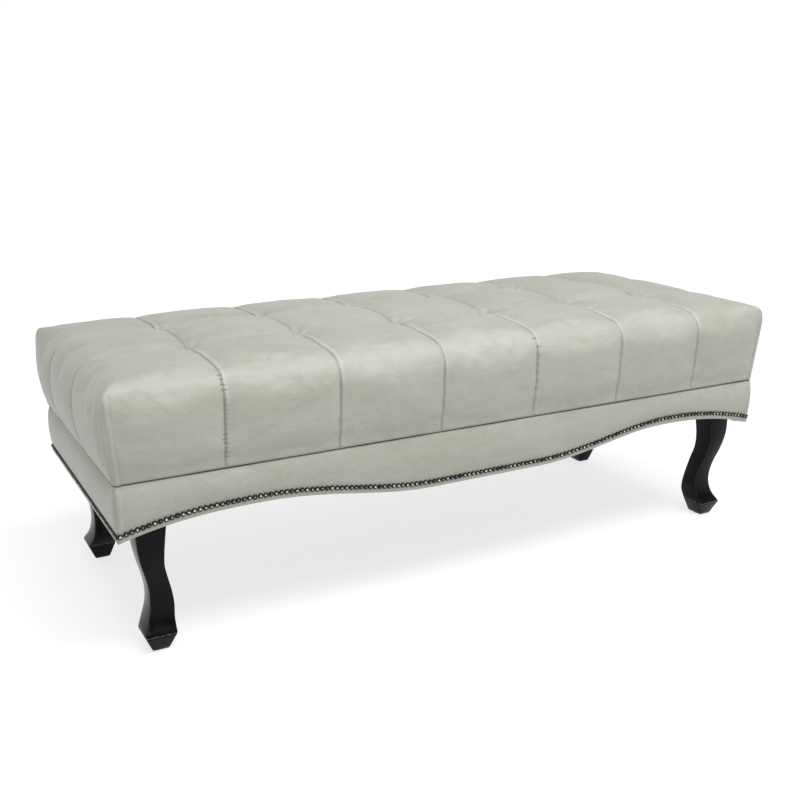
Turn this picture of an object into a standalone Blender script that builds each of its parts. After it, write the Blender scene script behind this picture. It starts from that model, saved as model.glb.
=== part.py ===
"""Tufted upholstered bench on four curved wooden legs.

Metres, +Z up, origin on the floor under the centre of the bench.
The length runs along X and the front faces -Y.
"""
import math

import bmesh
import bpy
from mathutils import Matrix, Vector

# Overall sizes of the upholstered body
BENCH_LENGTH = 1.400
BENCH_DEPTH = 0.550
SEAM_HEIGHT = 0.320          # line between seat cushion and apron
CUSHION_THICKNESS = 0.162    # from the seam to the top of the cushion's edge
CROWN_RISE = 0.018           # how far the middle of the seat stands above its edge

# Clearances
FIT = 0.0003                 # between pieces that touch
CUT_OVERRUN = 0.002          # how far a cutter runs past what it cuts
WELD_DISTANCE = 0.00001      # points of a turned piece closer than this become one

# Leather and wadding
LEATHER = 0.0015
APRON_WADDING = 0.004
LIP_WIDTH = 0.020            # leather turned under an edge and stapled
EDGE_ROUND = 0.003           # leather's turn at the apron's long edges
CORNER_SEAM = 0.0009         # sewn joint between two apron covers

# Seat cushion
TUFT_COLUMNS = 6
END_CELL_LENGTH = 0.183      # from the last tufts to the bench's ends
SIDE_CELL_DEPTH = 0.178      # from a row of tufts to the bench's long side
CUSHION_FLARE = 0.010        # sides stand out past the apron
CUSHION_TUCK = 0.002         # sides drawn in at the seam
EDGE_RADIUS = 0.036          # roll of the cushion's top edge
PILLOW_RISE = 0.010
TUFT_DEPTH = 0.012
SIDE_BULGE = 0.004
SIDE_SEAM_DIP = 0.003
CELL_SHARES = (0.15, 0.85)           # cage lines across one sewn square
END_CELL_SHARES = (0.17, 0.70)       # cage lines from the last tuft to the edge
ROLL_ANGLES_DEGREES = (60, 25, 0)
SIDE_FLARE_SHARES = (0.45,)          # stand-out of the sides near their foot
SIDE_HEIGHT_SHARES = (0.12,)         # height of that level
SWELL_SHARES = (0.4, 0.8, 1.0, 0.5)  # bulge of the panels, level by level
FOAM_FOOT_FLARE_SHARE = 0.20

# Seat deck and tuft ties
DECK_THICKNESS = 0.012
DECK_EDGE_INSET = 0.007
DECK_HOLE_RADIUS = 0.004
TWINE_RADIUS = 0.0012
TWINE_HOLE_RADIUS = 0.0020
TIE_WASHER_RADIUS = 0.009
TIE_WASHER_THICKNESS = 0.0015

# Apron: how far its leather hangs below the seam
APRON_CORNER_DROP = 0.0975
APRON_ARCH_DROP = 0.068
APRON_CENTRE_DROP = 0.1045
ARCH_CREST_INSET = 0.240     # from the bench's end to the top of an arch
PLATEAU_HALF_LENGTH = 0.115
SHOULDER_POWER = 2.2
APRON_STATIONS = 40

# Frame
RAIL_THICKNESS = 0.018
CROSS_RAIL_THICKNESS = 0.020
CROSS_RAIL_COUNT = 3
CROSS_RAIL_CELLS = 2         # sewn squares between cross rails
BLOCK_DROP = 0.0147          # from the seat deck down to the corner blocks
CORNER_BLOCK_HEIGHT = 0.045
CORNER_BLOCK_SIDE = 0.088
CORNER_BLOCK_CUT = 0.040
DUST_COVER_THICKNESS = 0.0008
DUST_COVER_CUT_CLEARANCE = 0.001

# Legs: offsets from the leg's bolt axis, as shares of LEG_WIDTH
LEG_END_INSET = 0.060        # bolt axis from the bench's end
LEG_SIDE_INSET = 0.052       # bolt axis from the bench's long side
LEG_WIDTH = 0.050
LEG_EDGE_BEVEL = 0.0015
LEG_CURVE_STEPS = 15
FOOT_LEVEL_SHARE = 0.125     # height of the foot's widest line
# height, outward X, inward X, outward Y, inward Y
LEG_PROFILE_SHARES = (
    (0.125, 0.42, 0.67, 0.50, 0.62),
    (0.205, 0.22, 0.69, 0.21, 0.80),
    (0.300, 0.11, 0.73, 0.10, 0.72),
    (0.400, 0.11, 0.66, 0.13, 0.63),
    (0.500, 0.20, 0.53, 0.24, 0.56),
    (0.595, 0.34, 0.42, 0.38, 0.46),
    (0.690, 0.45, 0.41, 0.49, 0.41),
    (0.785, 0.51, 0.45, 0.54, 0.42),
    (1.000, 0.51, 0.60, 0.54, 0.50),
)
FOOT_BASE_SHARES = (0.16, 0.42, 0.25, 0.50)

# Leg fixings
BOLT_RADIUS = 0.004
BOLT_DEPTH_IN_LEG = 0.038
BOLT_STAND = 0.004           # bolt end above the tee nut
TEE_NUT_BARREL_RADIUS = 0.0052
TEE_NUT_BARREL_LENGTH = 0.010
TEE_NUT_FLANGE_RADIUS = 0.010
TEE_NUT_FLANGE = 0.0015
GLIDE_RADIUS = 0.0115
GLIDE_HEIGHT = 0.002
GLIDE_CHAMFER = 0.0008
GLIDE_PIN_RADIUS = 0.0014
GLIDE_PIN_LENGTH = 0.012

# Upholstery nails, head to head
NAIL_PITCH = 0.0095
NAIL_HEIGHT = 0.0026
NAIL_WAIST_SHARE = 0.50      # width between two heads against a head's width
NAIL_CROWN_SHARE = 0.45      # flat of a head's top against its width
NAIL_LINE_OFFSET = 0.0125    # nail centres above the apron's lower edge

ROUND_SIDES = 16
SMALL_ROUND_SIDES = 8

# Worked-out places
HALF_LENGTH = BENCH_LENGTH / 2
HALF_DEPTH = BENCH_DEPTH / 2
SKIN = LEATHER + FIT
WRAP = SKIN + APRON_WADDING + FIT
RIM_HEIGHT = SEAM_HEIGHT + CUSHION_THICKNESS
CUSHION_BOTTOM = SEAM_HEIGHT + FIT / 2
APRON_TOP = SEAM_HEIGHT - FIT / 2
RAIL_TOP = APRON_TOP - SKIN
DECK_BOTTOM = CUSHION_BOTTOM + SKIN
DECK_TOP = DECK_BOTTOM + DECK_THICKNESS
RAIL_INNER_X = HALF_LENGTH - WRAP - RAIL_THICKNESS
RAIL_INNER_Y = HALF_DEPTH - WRAP - RAIL_THICKNESS
APRON_CORNER_EDGE = SEAM_HEIGHT - APRON_CORNER_DROP
APRON_ARCH_EDGE = SEAM_HEIGHT - APRON_ARCH_DROP
APRON_CENTRE_EDGE = SEAM_HEIGHT - APRON_CENTRE_DROP
ARCH_CREST_X = HALF_LENGTH - ARCH_CREST_INSET
BLOCK_TOP = DECK_BOTTOM - BLOCK_DROP
BLOCK_BOTTOM = BLOCK_TOP - CORNER_BLOCK_HEIGHT
LEG_TOP_HEIGHT = BLOCK_BOTTOM - FIT
LEG_BASE = GLIDE_HEIGHT + FIT
LEG_AXIS_X = HALF_LENGTH - LEG_END_INSET
LEG_AXIS_Y = HALF_DEPTH - LEG_SIDE_INSET
LAST_TUFT_X = HALF_LENGTH - END_CELL_LENGTH
TUFT_PITCH = 2 * LAST_TUFT_X / (TUFT_COLUMNS - 1)
TUFT_ROW_OFFSET = HALF_DEPTH - SIDE_CELL_DEPTH
TUFT_XS = [TUFT_PITCH * i - LAST_TUFT_X for i in range(TUFT_COLUMNS)]
TUFT_YS = [-TUFT_ROW_OFFSET, TUFT_ROW_OFFSET]
CORNERS = (
    ("front_left", -1, -1),
    ("front_right", 1, -1),
    ("back_left", -1, 1),
    ("back_right", 1, 1),
)
SIDES = (
    ("front", 0, True),
    ("right", math.pi / 2, False),
    ("back", math.pi, True),
    ("left", -math.pi / 2, False),
)


def clear_scene():
    for obj in list(bpy.data.objects):
        bpy.data.objects.remove(obj, do_unlink=True)


def new_collection(name):
    collection = bpy.data.collections.new(name)
    bpy.context.scene.collection.children.link(collection)
    return collection


def new_material(name, colour, roughness, metallic=0.0):
    material = bpy.data.materials.new(name)
    material.use_nodes = True
    shader = material.node_tree.nodes["Principled BSDF"]
    shader.inputs["Base Color"].default_value = (*colour, 1.0)
    shader.inputs["Roughness"].default_value = roughness
    shader.inputs["Metallic"].default_value = metallic
    return material


def add_object(name, data, material, collection=None):
    """One named object with its own copy of the material."""
    obj = bpy.data.objects.new(name, data)
    own_material = material.copy()
    own_material.name = name + "_material"
    data.materials.clear()
    data.materials.append(own_material)
    (collection or PARTS).objects.link(obj)
    return obj


def mesh_from(bm, name, smooth_degrees=None):
    mesh = bpy.data.meshes.new(name)
    bm.to_mesh(mesh)
    bm.free()
    if smooth_degrees is not None:
        mesh.shade_smooth()
        mesh.set_sharp_from_angle(angle=math.radians(smooth_degrees))
    return mesh


def make_cutter(name, bm):
    """A hidden wire object that other pieces are cut by."""
    cutter = bpy.data.objects.new(name, mesh_from(bm, name))
    cutter.hide_render = True
    cutter.display_type = "WIRE"
    CUTTERS.objects.link(cutter)
    return cutter


def cut(obj, cutter):
    modifier = obj.modifiers.new("cut_" + cutter.name, "BOOLEAN")
    modifier.operation = "DIFFERENCE"
    modifier.solver = "EXACT"
    modifier.object = cutter


def add_cylinder(bm, radius, bottom, top, x=0.0, y=0.0, sides=ROUND_SIDES):
    middle = Matrix.Translation((x, y, (bottom + top) / 2))
    bmesh.ops.create_cone(
        bm, cap_ends=True, segments=sides, radius1=radius, radius2=radius,
        depth=top - bottom, matrix=middle)


def turned(name, profile, material, x, y, sides=ROUND_SIDES):
    """A turned piece: the profile (radius, height) swept round the Z axis."""
    mesh = bpy.data.meshes.new(name)
    points = [(radius, 0.0, height) for radius, height in profile]
    edges = [(i, i + 1) for i in range(len(points) - 1)]
    if profile[0][0] > 0:
        edges.append((len(points) - 1, 0))
    mesh.from_pydata(points, edges, [])
    obj = add_object(name, mesh, material)
    obj.location = (x, y, 0.0)
    screw = obj.modifiers.new("turn", "SCREW")
    screw.axis = "Z"
    screw.steps = sides
    screw.render_steps = sides
    screw.use_merge_vertices = True
    screw.merge_threshold = WELD_DISTANCE
    screw.use_smooth_shade = True
    return obj


def circle_outline(x, y, radius, sides):
    angles = (2 * math.pi * i / sides for i in range(sides))
    return [(x + radius * math.cos(a), y + radius * math.sin(a)) for a in angles]


def plate(name, outlines, thickness, material):
    """A flat outline with its holes, filled and given a thickness along local Z."""
    curve = bpy.data.curves.new(name, "CURVE")
    curve.dimensions = "2D"
    curve.fill_mode = "BOTH"
    curve.extrude = thickness / 2
    for outline in outlines:
        spline = curve.splines.new("POLY")
        spline.points.add(len(outline) - 1)
        for point, (x, y) in zip(spline.points, outline):
            point.co = (x, y, 0.0, 1.0)
        spline.use_cyclic_u = True
    return add_object(name, curve, material)


def stand_on_side(obj, turn, distance):
    """Stands a plate up, facing one side of the bench, at a distance from its centre."""
    obj.rotation_euler = (math.pi / 2, 0.0, turn)
    obj.location = Matrix.Rotation(turn, 3, "Z") @ Vector((0.0, -distance, 0.0))


def grid_surface(columns):
    """An open surface of quads through columns of points."""
    bm = bmesh.new()
    across = len(columns) - 1
    along = len(columns[0]) - 1
    bmesh.ops.create_grid(bm, x_segments=across, y_segments=along, size=1.0)
    for vert in bm.verts:
        column = columns[round((vert.co.x + 1) / 2 * across)]
        vert.co = column[round((vert.co.y + 1) / 2 * along)]
    return bm


def thicken_inwards(obj, thickness):
    solidify = obj.modifiers.new("thickness", "SOLIDIFY")
    solidify.thickness = thickness
    solidify.offset = -1.0
    solidify.use_even_offset = True


# Apron edge

def lower_edge(x, arched):
    """Height of the apron's lower edge: straight, or a flat middle between two arches."""
    if not arched:
        return APRON_CORNER_EDGE
    reach = abs(x)
    if reach <= PLATEAU_HALF_LENGTH:
        return APRON_CENTRE_EDGE
    if reach <= ARCH_CREST_X:
        share = (reach - PLATEAU_HALF_LENGTH) / (ARCH_CREST_X - PLATEAU_HALF_LENGTH)
        rise = (1 - math.cos(math.pi * share)) / 2
        return APRON_CENTRE_EDGE + (APRON_ARCH_EDGE - APRON_CENTRE_EDGE) * rise
    share = (reach - ARCH_CREST_X) / (HALF_LENGTH - ARCH_CREST_X)
    return APRON_ARCH_EDGE - (APRON_ARCH_EDGE - APRON_CORNER_EDGE) * share ** SHOULDER_POWER


def stations(half, arched):
    """Places along one side where its layers have their points, shared by all layers."""
    if not arched:
        return [-half, half]
    step = BENCH_LENGTH / APRON_STATIONS
    inner = [step * i - HALF_LENGTH for i in range(1, APRON_STATIONS)]
    return [-half] + inner + [half]


def side_values(arched, outer_inset, butt_inset):
    """Half length and face distance of a layer of the apron.

    The front and back layers run past the ends of the side layers.
    """
    if arched:
        return HALF_LENGTH - outer_inset, HALF_DEPTH - outer_inset
    return HALF_DEPTH - butt_inset, HALF_LENGTH - outer_inset


def make_slab(name, arched, turn, inset, butt_inset, thickness, bottom_lift, top, material):
    """A rail or a layer of wadding: the apron's outline as an upright board."""
    half, face = side_values(arched, inset, butt_inset)
    outline = [(x, lower_edge(x, arched) + bottom_lift) for x in stations(half, arched)]
    outline += [(half, top), (-half, top)]
    board = plate(name, [outline], thickness, material)
    stand_on_side(board, turn, face - thickness / 2)


def make_apron_cover(name, arched, turn, material):
    """Leather over the apron's face, turned in over the rail's top and bottom."""
    half, face = side_values(arched, 0.0, LEATHER + CORNER_SEAM)
    columns = []
    for x in stations(half, arched):
        turn_x = math.copysign(min(abs(x), half - EDGE_ROUND), x)
        lip_x = math.copysign(min(abs(x), half - LIP_WIDTH), x)
        column = [
            Vector((lip_x, -face + LIP_WIDTH, lower_edge(lip_x, arched))),
            Vector((turn_x, -face + EDGE_ROUND, lower_edge(turn_x, arched))),
            Vector((x, -face, lower_edge(x, arched) + EDGE_ROUND)),
            Vector((x, -face, APRON_TOP - EDGE_ROUND)),
            Vector((turn_x, -face + EDGE_ROUND, APRON_TOP)),
            Vector((lip_x, -face + LIP_WIDTH, APRON_TOP)),
        ]
        columns.append(column)
    cover = add_object(name, mesh_from(grid_surface(columns), name, 50), material)
    cover.rotation_euler = (0.0, 0.0, turn)
    thicken_inwards(cover, LEATHER)


def nail_path(half, arched):
    """Points along the nail line at equal steps: between heads, head, between heads."""
    samples = APRON_STATIONS * 20
    line = []
    for i in range(samples + 1):
        x = half * (2 * i / samples - 1)
        line.append(Vector((x, lower_edge(x, arched) + NAIL_LINE_OFFSET)))
    lengths = [0.0]
    for start, end in zip(line[:-1], line[1:]):
        lengths.append(lengths[-1] + (end - start).length)
    nails = round(lengths[-1] / NAIL_PITCH)
    points = []
    index = 0
    for step in range(2 * nails + 1):
        target = lengths[-1] * step / (2 * nails)
        while index < samples - 1 and lengths[index + 1] < target:
            index += 1
        share = (target - lengths[index]) / (lengths[index + 1] - lengths[index])
        points.append(line[index].lerp(line[index + 1], share))
    return points


def make_nail_profile():
    """Half section of a nail head, its back on the leather."""
    half = NAIL_PITCH / 2
    crown = half * NAIL_CROWN_SHARE
    curve = bpy.data.curves.new("nail_section", "CURVE")
    curve.dimensions = "2D"
    curve.fill_mode = "NONE"
    spline = curve.splines.new("POLY")
    section = ((-half, 0.0), (-crown, NAIL_HEIGHT), (crown, NAIL_HEIGHT), (half, 0.0))
    spline.points.add(len(section) - 1)
    for point, (x, y) in zip(spline.points, section):
        point.co = (x, y, 0.0, 1.0)
    spline.use_cyclic_u = True
    guide = bpy.data.objects.new("nail_section", curve)
    guide.hide_render = True
    guide.display_type = "WIRE"
    CUTTERS.objects.link(guide)
    return guide


def make_nail_row(name, arched, turn, section, material):
    """A row of touching nail heads along the apron's edge."""
    half, face = side_values(arched, 0.0, 0.0)
    path = nail_path(half, arched)
    curve = bpy.data.curves.new(name, "CURVE")
    curve.dimensions = "2D"
    curve.fill_mode = "NONE"
    curve.bevel_mode = "OBJECT"
    curve.bevel_object = section
    curve.use_fill_caps = True
    spline = curve.splines.new("POLY")
    spline.points.add(len(path) - 1)
    for i, (point, place) in enumerate(zip(spline.points, path)):
        point.co = (place.x, place.y, 0.0, 1.0)
        point.radius = 1.0 if i % 2 else NAIL_WAIST_SHARE
    row = add_object(name, curve, material)
    stand_on_side(row, turn, face + FIT)


# Seat cushion

def cage_lines(seams, half):
    """Cage line places across the seat, and which of them are seams."""
    lines = []
    first, last = seams[0], seams[-1]
    for share in reversed((0.0,) + END_CELL_SHARES + (1.0,)):
        lines.append((first + (-half - first) * share, share == 0.0))
    for start, end in zip(seams[:-1], seams[1:]):
        for share in CELL_SHARES:
            lines.append((start + (end - start) * share, False))
        lines.append((end, True))
    for share in END_CELL_SHARES + (1.0,):
        lines.append((last + (half - last) * share, False))
    return lines


def seat_height(x, y, on_x_seam, on_y_seam):
    """Height of the leather over the seat: crown, pillows, seams and tufts."""
    share_x = min(1.0, abs(x) / HALF_LENGTH)
    share_y = min(1.0, abs(y) / HALF_DEPTH)
    height = RIM_HEIGHT + CROWN_RISE * (1 - share_x ** 4) * (1 - share_y ** 3)
    if on_x_seam and on_y_seam:
        return height - TUFT_DEPTH
    if on_x_seam or on_y_seam:
        return height
    return height + PILLOW_RISE * (1 - share_x ** 8) * (1 - share_y ** 8)


def side_levels():
    """Outset past the apron's face and height of each ring below the seat."""
    levels = []
    for degrees in ROLL_ANGLES_DEGREES:
        angle = math.radians(degrees)
        outset = CUSHION_FLARE - EDGE_RADIUS * (1 - math.cos(angle))
        levels.append((outset, RIM_HEIGHT - EDGE_RADIUS * (1 - math.sin(angle))))
    wall = RIM_HEIGHT - EDGE_RADIUS - CUSHION_BOTTOM
    for flare_share, height_share in zip(SIDE_FLARE_SHARES, SIDE_HEIGHT_SHARES):
        levels.append((CUSHION_FLARE * flare_share, CUSHION_BOTTOM + wall * height_share))
    return levels


def cushion_skin(levels):
    """The cushion's outer surface: the sewn seat, then one ring for each level."""
    roll_inset = EDGE_RADIUS - CUSHION_FLARE
    lines_x = cage_lines(TUFT_XS, HALF_LENGTH - roll_inset)
    lines_y = cage_lines(TUFT_YS, HALF_DEPTH - roll_inset)
    columns = []
    for x, x_seam in lines_x:
        columns.append([Vector((x, y, seat_height(x, y, x_seam, y_seam)))
                        for y, y_seam in lines_y])
    bm = grid_surface(columns)
    column_of = bm.verts.layers.int.new("column")
    row_of = bm.verts.layers.int.new("row")
    for vert in bm.verts:
        column = min(range(len(lines_x)), key=lambda i: abs(lines_x[i][0] - vert.co.x))
        row = min(range(len(lines_y)), key=lambda i: abs(lines_y[i][0] - vert.co.y))
        vert[column_of] = column
        vert[row_of] = row
    swells = SWELL_SHARES + (0.0,) * (len(levels) - len(SWELL_SHARES))
    for (outset, height), swell in zip(levels, swells):
        ring_x = cage_lines(TUFT_XS, HALF_LENGTH + outset)
        ring_y = cage_lines(TUFT_YS, HALF_DEPTH + outset)
        edges = [edge for edge in bm.edges if edge.is_boundary]
        ring = bmesh.ops.extrude_edge_only(bm, edges=edges)["geom"]
        for vert in (item for item in ring if isinstance(item, bmesh.types.BMVert)):
            x, x_seam = ring_x[vert[column_of]]
            y, y_seam = ring_y[vert[row_of]]
            on_end = vert[column_of] in (0, len(ring_x) - 1)
            on_long_side = vert[row_of] in (0, len(ring_y) - 1)
            if on_end and not on_long_side:
                x += math.copysign(panel_swell(y_seam) * swell, x)
            if on_long_side and not on_end:
                y += math.copysign(panel_swell(x_seam) * swell, y)
            vert.co = (x, y, height)
    bmesh.ops.triangulate(bm, faces=bm.faces, quad_method="FIXED")
    bmesh.ops.recalc_face_normals(bm, faces=bm.faces)
    return bm


def panel_swell(on_seam):
    return -SIDE_SEAM_DIP if on_seam else SIDE_BULGE


def make_seat_cover(material):
    levels = side_levels()
    levels.append((-CUSHION_TUCK, CUSHION_BOTTOM))
    levels.append((-CUSHION_TUCK - LIP_WIDTH, CUSHION_BOTTOM))
    mesh = mesh_from(cushion_skin(levels), "seat_cover", 60)
    cover = add_object("seat_cover", mesh, material)
    thicken_inwards(cover, LEATHER)


def make_seat_foam(material):
    """The foam fills the cover from the deck up, with a hole at each tuft."""
    foot_level = DECK_TOP + FIT
    levels = side_levels()[:-1]
    levels.append((CUSHION_FLARE * FOAM_FOOT_FLARE_SHARE, foot_level))
    bm = cushion_skin(levels)
    bm.normal_update()
    moves = [(vert, vert.normal * vert.calc_shell_factor() * SKIN) for vert in bm.verts]
    foot = {vert for edge in bm.edges if edge.is_boundary for vert in edge.verts}
    for vert, move in moves:
        vert.co -= move
    for vert in foot:
        vert.co.z = foot_level
    bmesh.ops.holes_fill(bm, edges=[edge for edge in bm.edges if edge.is_boundary])
    bmesh.ops.recalc_face_normals(bm, faces=bm.faces)
    foam = add_object("seat_foam", mesh_from(bm, "seat_foam", 60), material)
    holes = bmesh.new()
    for x in TUFT_XS:
        for y in TUFT_YS:
            add_cylinder(holes, TWINE_HOLE_RADIUS, DECK_TOP - CUT_OVERRUN,
                         seat_height(x, y, True, True) + CUT_OVERRUN, x, y,
                         SMALL_ROUND_SIDES)
    cut(foam, make_cutter("twine_holes", holes))


def make_seat_deck(material):
    half_x = HALF_LENGTH - DECK_EDGE_INSET
    half_y = HALF_DEPTH - DECK_EDGE_INSET
    board = [(-half_x, -half_y), (half_x, -half_y), (half_x, half_y), (-half_x, half_y)]
    holes = [circle_outline(x, y, DECK_HOLE_RADIUS, SMALL_ROUND_SIDES)
             for x in TUFT_XS for y in TUFT_YS]
    deck = plate("seat_deck", [board] + holes, DECK_THICKNESS, material)
    deck.location = (0.0, 0.0, (DECK_BOTTOM + DECK_TOP) / 2)


def make_tuft_tie(name, x, y, material):
    """Twine from under the tuft down through foam and deck, tied round a washer."""
    top = seat_height(x, y, True, True) - SKIN - FIT
    washer_top = DECK_BOTTOM - FIT
    washer_bottom = washer_top - TIE_WASHER_THICKNESS
    profile = ((0.0, top), (TWINE_RADIUS, top), (TWINE_RADIUS, washer_top),
               (TIE_WASHER_RADIUS, washer_top), (TIE_WASHER_RADIUS, washer_bottom),
               (0.0, washer_bottom))
    turned(name, profile, material, x, y, SMALL_ROUND_SIDES)


# Frame

def make_cross_rail(name, x, material):
    bottom = BLOCK_BOTTOM
    top = DECK_BOTTOM - FIT
    bm = bmesh.new()
    size = Vector((CROSS_RAIL_THICKNESS, 2 * (RAIL_INNER_Y - FIT), top - bottom))
    bmesh.ops.create_cube(bm, size=1.0, matrix=Matrix.Diagonal(size).to_4x4())
    rail = add_object(name, mesh_from(bm, name), material)
    rail.location = (x, 0.0, (bottom + top) / 2)


def make_corner_block(name, side_x, side_y, material):
    """A glued block in the frame's corner, cut off across its inner corner."""
    outer_x = RAIL_INNER_X - FIT
    outer_y = RAIL_INNER_Y - FIT
    inner_x = outer_x - CORNER_BLOCK_SIDE
    inner_y = outer_y - CORNER_BLOCK_SIDE
    outline = [(outer_x, outer_y), (inner_x, outer_y), (inner_x, inner_y + CORNER_BLOCK_CUT),
               (inner_x + CORNER_BLOCK_CUT, inner_y), (outer_x, inner_y)]
    hole = circle_outline(LEG_AXIS_X, LEG_AXIS_Y, TEE_NUT_BARREL_RADIUS + FIT, ROUND_SIDES)
    outlines = [[(side_x * x, side_y * y) for x, y in points] for points in (outline, hole)]
    block = plate(name, outlines, CORNER_BLOCK_HEIGHT, material)
    block.location = (0.0, 0.0, (BLOCK_BOTTOM + BLOCK_TOP) / 2)


def make_dust_cover(material):
    """Black cloth under the blocks and cross rails, its corners cut away for the legs."""
    half_x = RAIL_INNER_X - FIT
    half_y = RAIL_INNER_Y - FIT
    _, _, inner_x_share, _, inner_y_share = LEG_PROFILE_SHARES[-1]
    notch_x = LEG_AXIS_X - LEG_WIDTH * inner_x_share - DUST_COVER_CUT_CLEARANCE
    notch_y = LEG_AXIS_Y - LEG_WIDTH * inner_y_share - DUST_COVER_CUT_CLEARANCE
    corner = ((half_x, notch_y), (notch_x, notch_y), (notch_x, half_y))
    outline = list(corner)
    outline += [(-x, y) for x, y in reversed(corner)]
    outline += [(-x, -y) for x, y in corner]
    outline += [(x, -y) for x, y in reversed(corner)]
    cloth = plate("dust_cover", [outline], DUST_COVER_THICKNESS, material)
    cloth.location = (0.0, 0.0, LEG_TOP_HEIGHT - DUST_COVER_THICKNESS / 2)


# Legs

def leg_section(height_share):
    """Offsets of the leg's four faces at a height, smooth through the profile rows."""
    rows = LEG_PROFILE_SHARES
    upper = next((i for i in range(1, len(rows)) if height_share <= rows[i][0]), len(rows) - 1)
    before, start, end, after = (rows[max(upper - 2, 0)], rows[upper - 1], rows[upper],
                                 rows[min(upper + 1, len(rows) - 1)])
    span = end[0] - start[0]
    t = (height_share - start[0]) / span
    faces = []
    for k in range(1, 5):
        slope_start = (end[k] - before[k]) / (end[0] - before[0]) * span
        slope_end = (after[k] - start[k]) / (after[0] - start[0]) * span
        faces.append((2 * t ** 3 - 3 * t ** 2 + 1) * start[k]
                     + (t ** 3 - 2 * t ** 2 + t) * slope_start
                     + (3 * t ** 2 - 2 * t ** 3) * end[k]
                     + (t ** 3 - t ** 2) * slope_end)
    return faces


def make_leg(name, side_x, side_y, material):
    """A square-section leg sawn to its S-curve, drawn in below the foot's widest line."""
    climb = [FOOT_LEVEL_SHARE + (1 - FOOT_LEVEL_SHARE) * i / LEG_CURVE_STEPS
             for i in range(LEG_CURVE_STEPS + 1)]
    levels = [(LEG_BASE, FOOT_BASE_SHARES)]
    levels += [(LEG_TOP_HEIGHT * share, leg_section(share)) for share in climb]
    bm = bmesh.new()
    bmesh.ops.create_cube(bm, size=1.0)
    cuts = len(levels) - 1
    for i in range(1, cuts):
        geometry = bm.verts[:] + bm.edges[:] + bm.faces[:]
        bmesh.ops.bisect_plane(bm, geom=geometry, plane_co=(0.0, 0.0, i / cuts - 0.5),
                               plane_no=(0.0, 0.0, 1.0))
    for vert in bm.verts:
        height, (out_x, in_x, out_y, in_y) = levels[round((vert.co.z + 0.5) * cuts)]
        reach_x = out_x if vert.co.x > 0 else -in_x
        reach_y = out_y if vert.co.y > 0 else -in_y
        vert.co = (side_x * (LEG_AXIS_X + LEG_WIDTH * reach_x),
                   side_y * (LEG_AXIS_Y + LEG_WIDTH * reach_y), height)
    bmesh.ops.recalc_face_normals(bm, faces=bm.faces)
    leg = add_object(name, mesh_from(bm, name, 40), material)
    bevel = leg.modifiers.new("eased_edges", "BEVEL")
    bevel.width = LEG_EDGE_BEVEL
    bevel.segments = 1
    bevel.limit_method = "ANGLE"
    bevel.angle_limit = math.radians(55)
    holes = bmesh.new()
    add_cylinder(holes, BOLT_RADIUS + FIT, LEG_TOP_HEIGHT - BOLT_DEPTH_IN_LEG,
                 LEG_TOP_HEIGHT + CUT_OVERRUN, side_x * LEG_AXIS_X, side_y * LEG_AXIS_Y)
    base_x, base_y = foot_centre(side_x, side_y)
    add_cylinder(holes, GLIDE_PIN_RADIUS + FIT, LEG_BASE - CUT_OVERRUN,
                 LEG_BASE + GLIDE_PIN_LENGTH, base_x, base_y, SMALL_ROUND_SIDES)
    cut(leg, make_cutter(name + "_holes", holes))


def foot_centre(side_x, side_y):
    out_x, in_x, out_y, in_y = FOOT_BASE_SHARES
    return (side_x * (LEG_AXIS_X + LEG_WIDTH * (out_x - in_x) / 2),
            side_y * (LEG_AXIS_Y + LEG_WIDTH * (out_y - in_y) / 2))


def make_hanger_bolt(name, side_x, side_y, material):
    top = BLOCK_TOP + FIT + TEE_NUT_FLANGE + BOLT_STAND
    bottom = LEG_TOP_HEIGHT - BOLT_DEPTH_IN_LEG + FIT
    point = bottom + BOLT_RADIUS
    profile = ((0.0, top), (BOLT_RADIUS, top), (BOLT_RADIUS, point),
               (BOLT_RADIUS / 2, bottom), (0.0, bottom))
    turned(name, profile, material, side_x * LEG_AXIS_X, side_y * LEG_AXIS_Y)


def make_tee_nut(name, side_x, side_y, material):
    seat = BLOCK_TOP + FIT
    bore = BOLT_RADIUS + FIT
    profile = ((bore, seat + TEE_NUT_FLANGE), (TEE_NUT_FLANGE_RADIUS, seat + TEE_NUT_FLANGE),
               (TEE_NUT_FLANGE_RADIUS, seat), (TEE_NUT_BARREL_RADIUS, seat),
               (TEE_NUT_BARREL_RADIUS, seat - TEE_NUT_BARREL_LENGTH),
               (bore, seat - TEE_NUT_BARREL_LENGTH))
    turned(name, profile, material, side_x * LEG_AXIS_X, side_y * LEG_AXIS_Y)


def make_glide(name, side_x, side_y, material):
    """A nail-on glide: a disc with a pin up into the foot."""
    x, y = foot_centre(side_x, side_y)
    pin_top = LEG_BASE + GLIDE_PIN_LENGTH - FIT
    profile = ((0.0, pin_top), (GLIDE_PIN_RADIUS, pin_top - GLIDE_PIN_RADIUS),
               (GLIDE_PIN_RADIUS, GLIDE_HEIGHT), (GLIDE_RADIUS, GLIDE_HEIGHT),
               (GLIDE_RADIUS, GLIDE_CHAMFER), (GLIDE_RADIUS - GLIDE_CHAMFER, 0.0), (0.0, 0.0))
    turned(name, profile, material, x, y)


clear_scene()
PARTS = new_collection("upholstered_bench")
CUTTERS = new_collection("upholstered_bench_cutters")

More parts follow.
